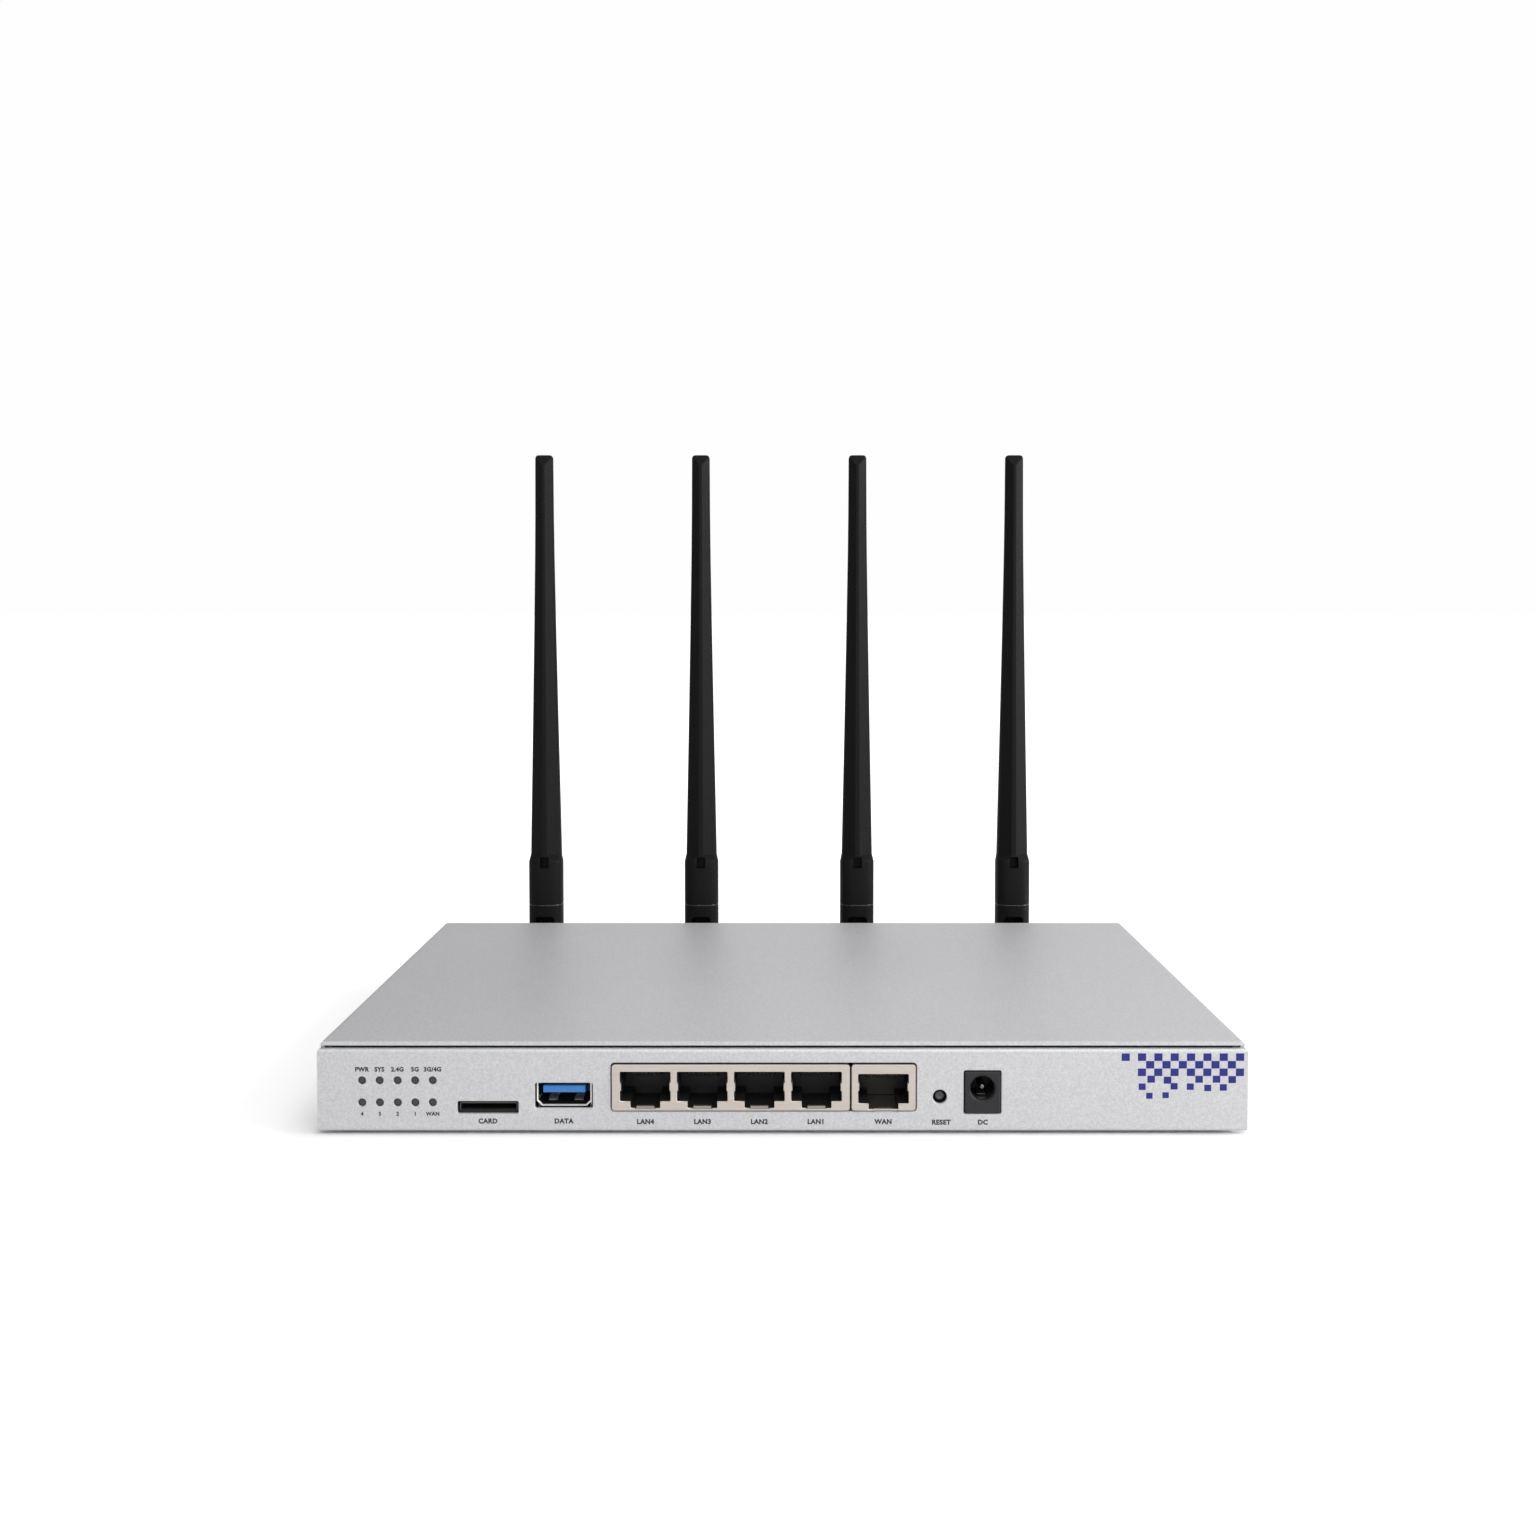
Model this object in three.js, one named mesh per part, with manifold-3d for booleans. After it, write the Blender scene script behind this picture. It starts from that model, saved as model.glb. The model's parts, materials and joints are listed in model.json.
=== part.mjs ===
// Desktop wireless router and repeater: a folded sheet-metal case with four hinged paddle antennas.
// Millimetres. X runs left to right, Y from the port panel to the rear, Z up from the rubber feet.
import * as THREE from "three";
import { mergeVertices } from "three/addons/utils/BufferGeometryUtils.js";
import Module from "manifold-3d";

const wasm = await Module();
wasm.setup();

// Case
const caseWidth = 228;
const caseDepth = 148;
const sheet = 1;
const panelHeight = 20.55;
const lidGap = 0.75;
const lidNarrower = 0.6;
const bendRadius = 1;
const footHeight = 0.8;
const footRadius = 6;
const returnDepth = 7;
const flangeHeight = 9;
const screwHole = 1.55;
const sideVentCount = 12;
const bottomVentCount = 9;
const keyholeSpacing = 60;
const fit = 0.3;
const hairline = 0.05;

// Circuit board
const boardTop = 4.45;
const boardThickness = 1.6;
const boardHalfWidth = 106;
const boardDepth = 118;
const processorSpot = [-20, 62];
const radioSpot = [41, 76];
const magneticsSpot = [-12, 27];

// Port panel, measured from its centre line and from the underside of the case
const portsProud = 0.5;
const shieldSheet = 0.35;
const portPitch = 13.97;
const portWidth = 12.4;
const portHeight = 7.25;
const notchWidth = 7.3;
const notchHeight = 1.7;
const portDepth = 11.5;
const jackBottom = 5.3;
const jackTop = 16.7;
const jackDepth = 17;
const lanLeft = -41.8;
const lanRight = 16.5;
const wanLeft = 16.9;
const wanRight = 32.6;
const wanCentre = 24.7;
const lanShoulder = 7.65;
const wanShoulder = 7.1;
const lightColumns = [-103, -98.7, -94.3, -90, -85.7];
const lightRows = [12.65, 7.2];
const lightHole = 1;
const usbCentre = -53.6;
const cardCentre = -72.2;
const resetX = 38.55;
const resetZ = 8.6;
const resetHole = 1.75;
const plungerRadius = 1.1;
const dcCentre = 49;
const dcBarrelZ = 10.75;

// Antennas
const antennaSpacing = 54;
const antennaShift = -1.3;
const antennaCount = 4;
const pivotSetback = 22;
const pivotHeight = 13;
const forkRadius = 5.4;
const sleeveWidth = 11.7;
const sleeveDepth = 10.2;
const slotWidth = 6.6;
const tongueWidth = 6;
const tongueRadius = 4.6;
const seamAboveLid = 2.65;
const sleeveAboveLid = 17.4;
const stepAboveLid = 20;
const tipAboveLid = 157.9;

// Derived positions
const underside = footHeight;
const lidTop = underside + panelHeight + lidGap + sheet;
const frontY = (portsProud - caseDepth - pivotSetback - forkRadius) / 2;
const rearY = frontY + caseDepth;
const middleY = (frontY + rearY) / 2;
const pivotY = rearY + pivotSetback;
const pivotZ = underside + pivotHeight;
const lidHalf = caseWidth / 2 - lidNarrower;
const trayHalf = lidHalf - sheet - fit;
const boardZ = underside + boardTop;
const boardFront = frontY + 1.8;
const portFace = frontY - portsProud;
const antennaXs = [...Array(antennaCount).keys()].map(
  (i) => (i - (antennaCount - 1) / 2) * antennaSpacing + antennaShift,
);
const portCentres = [...Array(4).keys()].map(
  (i) => (lanLeft + lanRight) / 2 + (i - 1.5) * portPitch,
);

const materials = {
  silverPaint: { color: 0xb9b9bb, roughness: 0.5, metalness: 0.3 },
  blackPlastic: { color: 0x242425, roughness: 0.55, metalness: 0 },
  blackRubber: { color: 0x1c1c1d, roughness: 0.85, metalness: 0 },
  darkPlastic: { color: 0x2a2a2b, roughness: 0.6, metalness: 0 },
  bluePlastic: { color: 0x3873b1, roughness: 0.5, metalness: 0 },
  smokedClear: { color: 0x444345, roughness: 0.3, metalness: 0 },
  nickel: { color: 0xc9c0b6, roughness: 0.3, metalness: 1 },
  brass: { color: 0xc9a553, roughness: 0.3, metalness: 1 },
  steel: { color: 0x9a9a9c, roughness: 0.35, metalness: 1 },
  aluminium: { color: 0xa9abad, roughness: 0.45, metalness: 1 },
  boardGreen: { color: 0x1d5a37, roughness: 0.5, metalness: 0 },
  chipBlack: { color: 0x202122, roughness: 0.6, metalness: 0 },
  cableBlack: { color: 0x1a1a1a, roughness: 0.5, metalness: 0 },
};

const group = new THREE.Group();
group.name = "wireless_router";

function solid(geometry) {
  const flat = geometry.index ? geometry.toNonIndexed() : geometry;
  const bare = new THREE.BufferGeometry();
  bare.setAttribute("position", flat.getAttribute("position"));
  const merged = mergeVertices(bare, 1e-4);
  const mesh = new wasm.Mesh({
    numProp: 3,
    vertProperties: new Float32Array(merged.attributes.position.array),
    triVerts: new Uint32Array(merged.index.array),
  });
  return new wasm.Manifold(mesh);
}

function add(name, manifold, slot) {
  const mesh = manifold.getMesh();
  const positions = new Float32Array(mesh.numVert * 3);
  for (let i = 0; i < mesh.numVert; i++) {
    const start = i * mesh.numProp;
    positions.set(mesh.vertProperties.subarray(start, start + 3), i * 3);
  }
  const geometry = new THREE.BufferGeometry();
  geometry.setAttribute("position", new THREE.BufferAttribute(positions, 3));
  geometry.setIndex(new THREE.BufferAttribute(new Uint32Array(mesh.triVerts), 1));
  const made = new THREE.Mesh(geometry, new THREE.MeshStandardMaterial(materials[slot]));
  made.name = name;
  group.add(made);
}

function block(x0, x1, y0, y1, z0, z1) {
  const geometry = new THREE.BoxGeometry(x1 - x0, y1 - y0, z1 - z0);
  geometry.translate((x0 + x1) / 2, (y0 + y1) / 2, (z0 + z1) / 2);
  return solid(geometry);
}

// A round bar along one axis; a and b are its centre on the other two axes, in X, Y, Z order.
function rod(axis, radius, from, to, a, b, sides = 24) {
  const geometry = new THREE.CylinderGeometry(radius, radius, to - from, sides);
  const middle = (from + to) / 2;
  if (axis === "x") {
    geometry.rotateZ(Math.PI / 2);
    geometry.translate(middle, a, b);
  } else if (axis === "y") {
    geometry.translate(a, middle, b);
  } else {
    geometry.rotateX(Math.PI / 2);
    geometry.translate(a, b, middle);
  }
  return solid(geometry);
}

// A flat outline drawn in one plane and pushed along the third axis.
function prism(plane, points, from, to) {
  const shape = new THREE.Shape(points.map(([a, b]) => new THREE.Vector2(a, b)));
  const geometry = new THREE.ExtrudeGeometry(shape, { depth: to - from, bevelEnabled: false });
  const x = new THREE.Vector3(1, 0, 0);
  const y = new THREE.Vector3(0, 1, 0);
  const z = new THREE.Vector3(0, 0, 1);
  const turn = new THREE.Matrix4();
  if (plane === "xz") {
    geometry.applyMatrix4(turn.makeBasis(x, z, y.clone().negate()));
    geometry.translate(0, to, 0);
  } else if (plane === "yz") {
    geometry.applyMatrix4(turn.makeBasis(y, z, x));
    geometry.translate(from, 0, 0);
  } else {
    geometry.translate(0, 0, from);
  }
  return solid(geometry);
}

function arc(cx, cy, radius, startDegrees, endDegrees, steps) {
  return [...Array(steps + 1).keys()].map((i) => {
    const angle = ((startDegrees + ((endDegrees - startDegrees) * i) / steps) * Math.PI) / 180;
    return [cx + radius * Math.cos(angle), cy + radius * Math.sin(angle)];
  });
}

// An anticlockwise rounded rectangle with one radius for the lower and one for the upper corners.
function rounded(x0, x1, y0, y1, lower, upper, steps = 4) {
  return [
    ...arc(x0 + lower, y0 + lower, lower, 180, 270, steps),
    ...arc(x1 - lower, y0 + lower, lower, 270, 360, steps),
    ...arc(x1 - upper, y1 - upper, upper, 0, 90, steps),
    ...arc(x0 + upper, y1 - upper, upper, 90, 180, steps),
  ];
}

function loft(rings) {
  const positions = [];
  const face = (...corners) => corners.forEach((p) => positions.push(...p));
  const count = rings[0].length;
  const last = rings[rings.length - 1];
  for (let i = 0; i + 1 < rings.length; i++) {
    for (let j = 0; j < count; j++) {
      const k = (j + 1) % count;
      face(rings[i][j], rings[i][k], rings[i + 1][k]);
      face(rings[i][j], rings[i + 1][k], rings[i + 1][j]);
    }
  }
  for (let j = 1; j + 1 < count; j++) {
    face(rings[0][0], rings[0][j + 1], rings[0][j]);
    face(last[0], last[j], last[j + 1]);
  }
  const geometry = new THREE.BufferGeometry();
  geometry.setAttribute("position", new THREE.Float32BufferAttribute(positions, 3));
  return solid(geometry);
}

function hexagon(acrossFlats, cx, cy) {
  return arc(cx, cy, acrossFlats / Math.sqrt(3), 0, 300, 5);
}

function join(pieces) {
  return pieces.reduce((whole, piece) => whole.add(piece));
}

function cut(body, tools) {
  return tools.reduce((left, tool) => left.subtract(tool), body);
}

// Where the four cover screws pass through the sides, and the four board screws through the board.
const coverScrewYs = [middleY - 42, middleY + 42];
const coverScrewZ = underside + 5.5;
const boardScrewSpots = [
  [-boardHalfWidth + 5, boardFront + 42],
  [boardHalfWidth - 5, boardFront + 30],
  [-boardHalfWidth + 5, boardFront + boardDepth - 5],
  [boardHalfWidth - 5, boardFront + boardDepth - 5],
];

// Top cover: one sheet folded down at both sides, open above the two panels.
function topCover() {
  const inner = lidHalf - sheet;
  const low = underside + lidGap;
  const curve = 1.4;
  const outline = [
    [-lidHalf, low],
    [-inner, low],
    ...arc(-inner + 0.4, lidTop - sheet - 0.4, 0.4, 180, 90, 2),
    ...arc(inner - 0.4, lidTop - sheet - 0.4, 0.4, 90, 0, 2),
    [inner, low],
    [lidHalf, low],
    ...arc(lidHalf - curve, lidTop - curve, curve, 0, 90, 4),
    ...arc(-lidHalf + curve, lidTop - curve, curve, 90, 180, 4),
  ];
  const folded = prism("xz", outline, frontY, rearY);
  const clear = sheet + fit;
  const tools = [
    block(-caseWidth, caseWidth, frontY - 1, frontY + clear, underside - 1, lidTop - sheet),
    block(-caseWidth, caseWidth, rearY - clear, rearY + 1, underside - 1, lidTop - sheet),
  ];
  for (const side of [-1, 1]) {
    const from = side > 0 ? inner - 1 : -lidHalf - 1;
    const to = from + sheet + 2;
    for (const y of coverScrewYs) {
      tools.push(rod("x", screwHole, from, to, y, coverScrewZ, 16));
    }
    for (let i = 0; i < sideVentCount; i++) {
      const y = middleY - 28 + i * 5;
      tools.push(block(from, to, y, y + 2, underside + 9.5, underside + 16.5));
    }
  }
  return cut(folded, tools);
}

// Base tray: bottom, port panel and rear panel from one folded sheet, each panel with a top return.
function baseTray() {
  const panelTop = underside + panelHeight;
  const r = bendRadius;
  const outline = [
    ...arc(frontY + r, underside + r, r, 180, 270, 4),
    ...arc(rearY - r, underside + r, r, 270, 360, 4),
    ...arc(rearY - r, panelTop - r, r, 0, 90, 4),
    [rearY - returnDepth, panelTop],
    [rearY - returnDepth, panelTop - sheet],
    [rearY - sheet, panelTop - sheet],
    [rearY - sheet, underside + sheet],
    [frontY + sheet, underside + sheet],
    [frontY + sheet, panelTop - sheet],
    [frontY + returnDepth, panelTop - sheet],
    [frontY + returnDepth, panelTop],
    ...arc(frontY + r, panelTop - r, r, 90, 180, 4),
  ];
  const half = caseWidth / 2;
  const channel = prism("yz", outline, -half, half);
  const corners = prism("xz", rounded(-half, half, underside, panelTop, 0.7, 1), frontY - 1, rearY + 1);
  const trims = [];
  for (const side of [-1, 1]) {
    const from = side > 0 ? trayHalf : -half - 1;
    const to = side > 0 ? half + 1 : -trayHalf;
    trims.push(block(from, to, frontY + sheet, rearY - sheet, underside - 1, panelTop + 1));
  }
  let tray = cut(channel.intersect(corners), trims);

  for (const side of [-1, 1]) {
    const from = side > 0 ? trayHalf - sheet : -trayHalf;
    const top = underside + flangeHeight;
    tray = tray.add(block(from, from + sheet, frontY + 10, rearY - 10, underside + 0.5, top));
  }
  for (const [x, y] of boardScrewSpots) {
    tray = tray.add(rod("z", 3.2, underside + 0.5, boardZ - boardThickness - hairline, x, y, 20));
  }

  const through = [];
  const front = [frontY - 1, frontY + sheet + 0.5];
  const below = [underside - 1, underside + sheet + 1];
  const opening = (x0, x1, z0, z1, lower, upper) => {
    const outlineAbove = rounded(x0, x1, underside + z0, underside + z1, lower, upper, 3);
    through.push(prism("xz", outlineAbove, ...front));
  };
  for (const x of lightColumns) {
    for (const z of lightRows) {
      through.push(rod("y", lightHole, ...front, x, underside + z, 12));
    }
  }
  opening(cardCentre - 7.5, cardCentre + 7.5, 4.4, 7.5, 0.4, 0.4);
  opening(usbCentre - 7.1, usbCentre + 7.1, 5.75, 12.05, 0.5, 0.6);
  opening(lanLeft - 0.3, wanRight + 0.3, jackBottom - 0.3, jackTop + 0.3, 0.9, 0.9);
  opening(dcCentre - 4.6, dcCentre + 4.6, 4.4, 15.1, 0.4, 0.4);
  through.push(rod("y", resetHole, ...front, resetX, underside + resetZ, 20));
  for (const x of antennaXs) {
    through.push(rod("y", 3.4, rearY - 2, rearY + 1, x, pivotZ, 20));
  }
  for (const side of [-1, 1]) {
    const from = side > 0 ? trayHalf - 3 : -trayHalf - 3;
    for (const y of coverScrewYs) {
      through.push(rod("x", screwHole, from, from + 6, y, coverScrewZ, 16));
    }
    const keyX = side * keyholeSpacing;
    const keyY = middleY + 28;
    through.push(rod("z", 4, ...below, keyX, keyY, 20));
    through.push(block(keyX - 2, keyX + 2, keyY, keyY + 9, ...below));
    for (let i = 0; i < bottomVentCount; i++) {
      const x = side * (22 + i * 8);
      through.push(block(x - 1.1, x + 1.1, middleY - 34, middleY - 8, ...below));
    }
  }
  for (const [x, y] of boardScrewSpots) {
    through.push(rod("z", 1.6, underside - 1, boardZ, x, y, 16));
  }
  return cut(tray, through);
}

// A shielded jack body with a stepped mouth for each plug; the latch notch is at the bottom.
function jackMouth(centre, shoulder, from, to, grow) {
  const half = portWidth / 2 + grow;
  const notch = notchWidth / 2 + grow;
  const base = underside + shoulder;
  return block(centre - half, centre + half, from, to, base - grow, base + portHeight + grow).add(
    block(centre - notch, centre + notch, from, to, base - notchHeight - grow, base),
  );
}

function jackShield(left, right, centres, shoulder) {
  const top = underside + jackTop;
  const nose = block(left, right, portFace, frontY + 3, underside + jackBottom, top);
  const rear = block(left, right, frontY + 1.6, portFace + jackDepth, boardZ + hairline, top);
  const low = underside + jackBottom + shieldSheet;
  const hollow = block(
    left + shieldSheet,
    right - shieldSheet,
    portFace + shieldSheet,
    portFace + jackDepth - shieldSheet,
    low,
    top - shieldSheet,
  );
  const under = block(
    left + shieldSheet,
    right - shieldSheet,
    frontY + 1.6 + shieldSheet,
    portFace + jackDepth - shieldSheet,
    boardZ - 1,
    low + 1,
  );
  const mouths = centres.map((x) => jackMouth(x, shoulder, portFace - 1, portFace + 1, 0));
  return cut(nose.add(rear), [hollow, under, ...mouths]);
}

function jackInsert(left, right, centres, shoulder) {
  const edge = shieldSheet + 0.1;
  const body = block(
    left + edge,
    right - edge,
    portFace + edge,
    portFace + jackDepth - edge,
    underside + jackBottom + edge,
    underside + jackTop - edge,
  );
  const mouths = centres.map((x) => jackMouth(x, shoulder, portFace - 1, portFace + portDepth, 0));
  return cut(body, mouths);
}

// USB socket: folded shell with chamfered lower corners, blue tongue in the upper half.
function usbShell() {
  const ring = (inset, from, to) =>
    prism(
      "xz",
      rounded(
        usbCentre - 6.75 + inset,
        usbCentre + 6.75 - inset,
        underside + 6.05 + inset,
        underside + 12.4 - inset,
        1.2 - inset / 2,
        0.6 - inset / 2,
        3,
      ),
      from,
      to,
    );
  const back = frontY + 13.8;
  let shell = ring(0, frontY + sheet + hairline, back);
  for (const side of [-1, 1]) {
    const x = usbCentre + side * 6.35;
    shell = shell.add(block(x - 0.3, x + 0.3, frontY + 3, frontY + 6, boardZ + hairline, underside + 8));
  }
  return shell.subtract(ring(0.35, frontY - 1, back + 1));
}

function usbTongue() {
  const tongue = block(
    usbCentre - 5.3,
    usbCentre + 5.3,
    frontY + 1.2,
    frontY + 11.5,
    underside + 9.3,
    underside + 11.1,
  );
  const rear = block(
    usbCentre - 5.6,
    usbCentre + 5.6,
    frontY + 11,
    frontY + 13.6,
    underside + 6.8,
    underside + 11.2,
  );
  return tongue.add(rear);
}

function cardShell() {
  const outer = block(
    cardCentre - 7.1,
    cardCentre + 7.1,
    frontY + 1.2,
    frontY + 16,
    boardZ + hairline,
    underside + 6.9,
  );
  const hollow = block(
    cardCentre - 6.8,
    cardCentre + 6.8,
    frontY,
    frontY + 15.7,
    boardZ - 1,
    underside + 6.6,
  );
  return outer.subtract(hollow);
}

function cardTray() {
  const base = block(
    cardCentre - 6.7,
    cardCentre + 6.7,
    frontY + 1.9,
    frontY + 15.5,
    boardZ + hairline,
    underside + 5.2,
  );
  const stop = block(
    cardCentre - 6.7,
    cardCentre + 6.7,
    frontY + 14,
    frontY + 15.5,
    underside + 5,
    underside + 6.5,
  );
  return base.add(stop);
}

function dcBody() {
  const body = block(
    dcCentre - 4.4,
    dcCentre + 4.4,
    frontY - 0.3,
    frontY + 13.7,
    boardZ + hairline,
    underside + 14.9,
  );
  return cut(body, [
    rod("y", 3, frontY - 1, frontY + 9.2, dcCentre, underside + dcBarrelZ, 28),
    rod("y", 1.15, frontY, frontY + 15, dcCentre, underside + dcBarrelZ, 16),
  ]);
}

function lightPipes() {
  const left = lightColumns[0] - 1.4;
  const right = lightColumns[4] + 1.4;
  const pieces = [
    block(left, right, frontY + 2.2, frontY + 4.4, boardZ + hairline, underside + 14),
  ];
  for (const x of lightColumns) {
    for (const z of lightRows) {
      pieces.push(rod("y", 0.8, frontY + 0.25, frontY + 3, x, underside + z, 12));
    }
  }
  return join(pieces);
}

function heatsink(x, y, z) {
  const half = 17;
  const fins = [...Array(8).keys()].map((i) => {
    const start = x - half + (i * (2 * half - 1.2)) / 7;
    return block(start, start + 1.2, y - half, y + half, z + 1, z + 8);
  });
  return join([block(x - half, x + half, y - half, y + half, z, z + 1.6), ...fins]);
}

// Antenna parts. The swivel axis runs along Y through the jack, the tilt axis along X behind it.
function antennaJack(x) {
  const flange = prism("xz", hexagon(9, x, pivotZ), rearY - 6, rearY - sheet - fit);
  return flange.add(rod("y", 3.1, rearY - sheet - fit - 0.5, rearY + 8.4, x, pivotZ, 24));
}

function jackNut(x) {
  const nut = prism("xz", hexagon(9, x, pivotZ), rearY + 0.2, rearY + 2.2);
  return nut.subtract(rod("y", 3.3, rearY - 1, rearY + 3, x, pivotZ, 24));
}

function couplingNut(x) {
  const body = rod("y", 4.5, rearY + 2.6, rearY + 11, x, pivotZ, 32);
  return cut(body, [
    rod("y", 3.35, rearY + 1, rearY + 8.8, x, pivotZ, 24),
    rod("y", 2.1, rearY + 8, rearY + 12, x, pivotZ, 20),
  ]);
}

function knuckle(x) {
  const pieces = [
    rod("y", 1.8, rearY + 9, rearY + 12, x, pivotZ, 20),
    rod("y", 4.8, rearY + 11.4, rearY + 15.8, x, pivotZ, 32),
    block(
      x - tongueWidth / 2,
      x + tongueWidth / 2,
      rearY + 15,
      pivotY,
      pivotZ - tongueRadius + 0.6,
      pivotZ + tongueRadius - 0.6,
    ),
    rod("x", tongueRadius, x - tongueWidth / 2, x + tongueWidth / 2, pivotY, pivotZ, 32),
  ];
  return join(pieces).subtract(rod("x", 1.7, x - 5, x + 5, pivotY, pivotZ, 20));
}

// Antenna outline at one height: a narrow front flat, two slanted facets and a rounded back.
function paddleRing(x, width, depth, z) {
  const w = width / 2;
  const d = depth / 2;
  const flat = width * 0.075;
  const corner = Math.min(1.6, w * 0.4);
  return [
    [-flat, -d],
    [flat, -d],
    [w - 0.5, -d * 0.35],
    [w, -d * 0.1],
    [w, d - corner],
    [w - corner * 0.3, d - corner * 0.3],
    [w - corner, d],
    [-w + corner, d],
    [-w + corner * 0.3, d - corner * 0.3],
    [-w, d - corner],
    [-w, -d * 0.1],
    [-w + 0.5, -d * 0.35],
  ].map(([a, b]) => [x + a, pivotY + b, z]);
}

// The sleeve below the blade is a soft oval, with as many points as the blade's outline.
function sleeveRing(x, z) {
  const spread = 2 / 2.8;
  return [255, 285, 322, 348, 27, 52, 73, 107, 128, 153, 192, 218].map((degrees) => {
    const angle = (degrees * Math.PI) / 180;
    const c = Math.cos(angle);
    const s = Math.sin(angle);
    return [
      x + (sleeveWidth / 2) * Math.sign(c) * Math.abs(c) ** spread,
      pivotY + (sleeveDepth / 2) * Math.sign(s) * Math.abs(s) ** spread,
      z,
    ];
  });
}

// The fork's slot is open at the front and below, and closed behind, above the knuckle's tongue.
function fork(x) {
  const seam = lidTop + seamAboveLid - hairline;
  const sleeve = loft([sleeveRing(x, pivotZ), sleeveRing(x, seam)]);
  const barrel = rod("x", forkRadius, x - sleeveWidth / 2, x + sleeveWidth / 2, pivotY, pivotZ, 32);
  const slotTop = lidTop - 1.3;
  const left = x - slotWidth / 2;
  const right = x + slotWidth / 2;
  const entry = [
    [left - 0.5, pivotZ - 8],
    [right + 0.5, pivotZ - 8],
    [right, pivotZ],
    [right, slotTop - 0.9],
    [right - 0.8, slotTop],
    [left + 0.8, slotTop],
    [left, slotTop - 0.9],
    [left, pivotZ],
  ];
  const open = cut(sleeve.add(barrel), [
    prism("xz", entry, pivotY - 8, pivotY + 2.2),
    rod("x", tongueRadius + 0.6, left, right, pivotY, pivotZ, 32),
    block(left, right, pivotY, pivotY + 8, pivotZ - 8, pivotZ),
  ]);
  return open.add(rod("x", 1.4, left - 1, right + 1, pivotY, pivotZ, 20));
}

function blade(x) {
  const taper = [
    [stepAboveLid, 10.4],
    [40, 9.65],
    [74, 8.3],
    [109, 7],
    [137, 6.25],
    [tipAboveLid - 1, 6],
    [tipAboveLid, 4.8],
  ];
  const rings = [
    sleeveRing(x, lidTop + seamAboveLid + hairline),
    sleeveRing(x, lidTop + sleeveAboveLid),
    ...taper.map(([above, width]) => paddleRing(x, width, width * 0.8, lidTop + above)),
  ];
  const tip = lidTop + tipAboveLid;
  const front = pivotY - 2.4;
  const slant = prism(
    "yz",
    [
      [front - 0.6, tip - 3.6],
      [front + 3, tip + 1],
      [front - 3, tip + 1],
    ],
    x - 6,
    x + 6,
  );
  const recess = block(x - 1.5, x + 1.5, pivotY - 8, pivotY - 3.2, lidTop + 15.6, lidTop + 19.4);
  return cut(loft(rings), [slant, recess]);
}

function pigtail(index, x) {
  const startY = rearY - 6.4;
  const boardRear = boardFront + boardDepth;
  const inward = x > 0 ? -1 : 1;
  const targetX = x + inward * (index === 0 || index === 3 ? 16 : 8);
  const path = new THREE.CatmullRomCurve3(
    [
      [x, startY, pivotZ],
      [x, startY - 5, pivotZ - 0.4],
      [x + inward * 3, startY - 10, pivotZ - 3],
      [targetX - inward * 2, boardRear - 12, boardZ + 3.4],
      [targetX, boardRear - 20, boardZ + 1.6],
    ].map((p) => new THREE.Vector3(...p)),
  );
  const circle = new THREE.Shape(arc(0, 0, 0.7, 0, 315, 7).map(([a, b]) => new THREE.Vector2(a, b)));
  const options = { extrudePath: path, steps: 16, bevelEnabled: false };
  return solid(new THREE.ExtrudeGeometry(circle, options));
}

add("top_cover", topCover(), "silverPaint");
add("base_tray", baseTray(), "silverPaint");

const footSpots = [
  [-98, frontY + 16],
  [98, frontY + 16],
  [-98, rearY - 16],
  [98, rearY - 16],
];
footSpots.forEach(([x, y], i) => {
  add("rubber_foot_" + (i + 1), rod("z", footRadius, 0, footHeight - hairline, x, y, 28), "blackRubber");
});

let screwNumber = 1;
for (const side of [-1, 1]) {
  for (const y of coverScrewYs) {
    const face = lidHalf + hairline;
    const head = [side * face, side * (caseWidth / 2)].sort((a, b) => a - b);
    const shank = [side * (face - 5), side * (face + 0.2)].sort((a, b) => a - b);
    const screw = rod("x", 2.6, ...head, y, coverScrewZ, 24).add(
      rod("x", 1.25, ...shank, y, coverScrewZ, 16),
    );
    add("cover_screw_" + screwNumber, screw, "steel");
    screwNumber++;
  }
}

const boardHoles = boardScrewSpots.map(([x, y]) => rod("z", 1.7, boardZ - 3, boardZ + 1, x, y, 16));
const boardSheet = block(
  -boardHalfWidth,
  boardHalfWidth,
  boardFront,
  boardFront + boardDepth,
  boardZ - boardThickness,
  boardZ,
);
add("main_board", cut(boardSheet, boardHoles), "boardGreen");
boardScrewSpots.forEach(([x, y], i) => {
  const screw = rod("z", 2.8, boardZ + hairline, boardZ + 1.8, x, y, 24).add(
    rod("z", 1.3, boardZ - 3.4, boardZ + 0.5, x, y, 16),
  );
  add("board_screw_" + (i + 1), screw, "steel");
});

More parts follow.
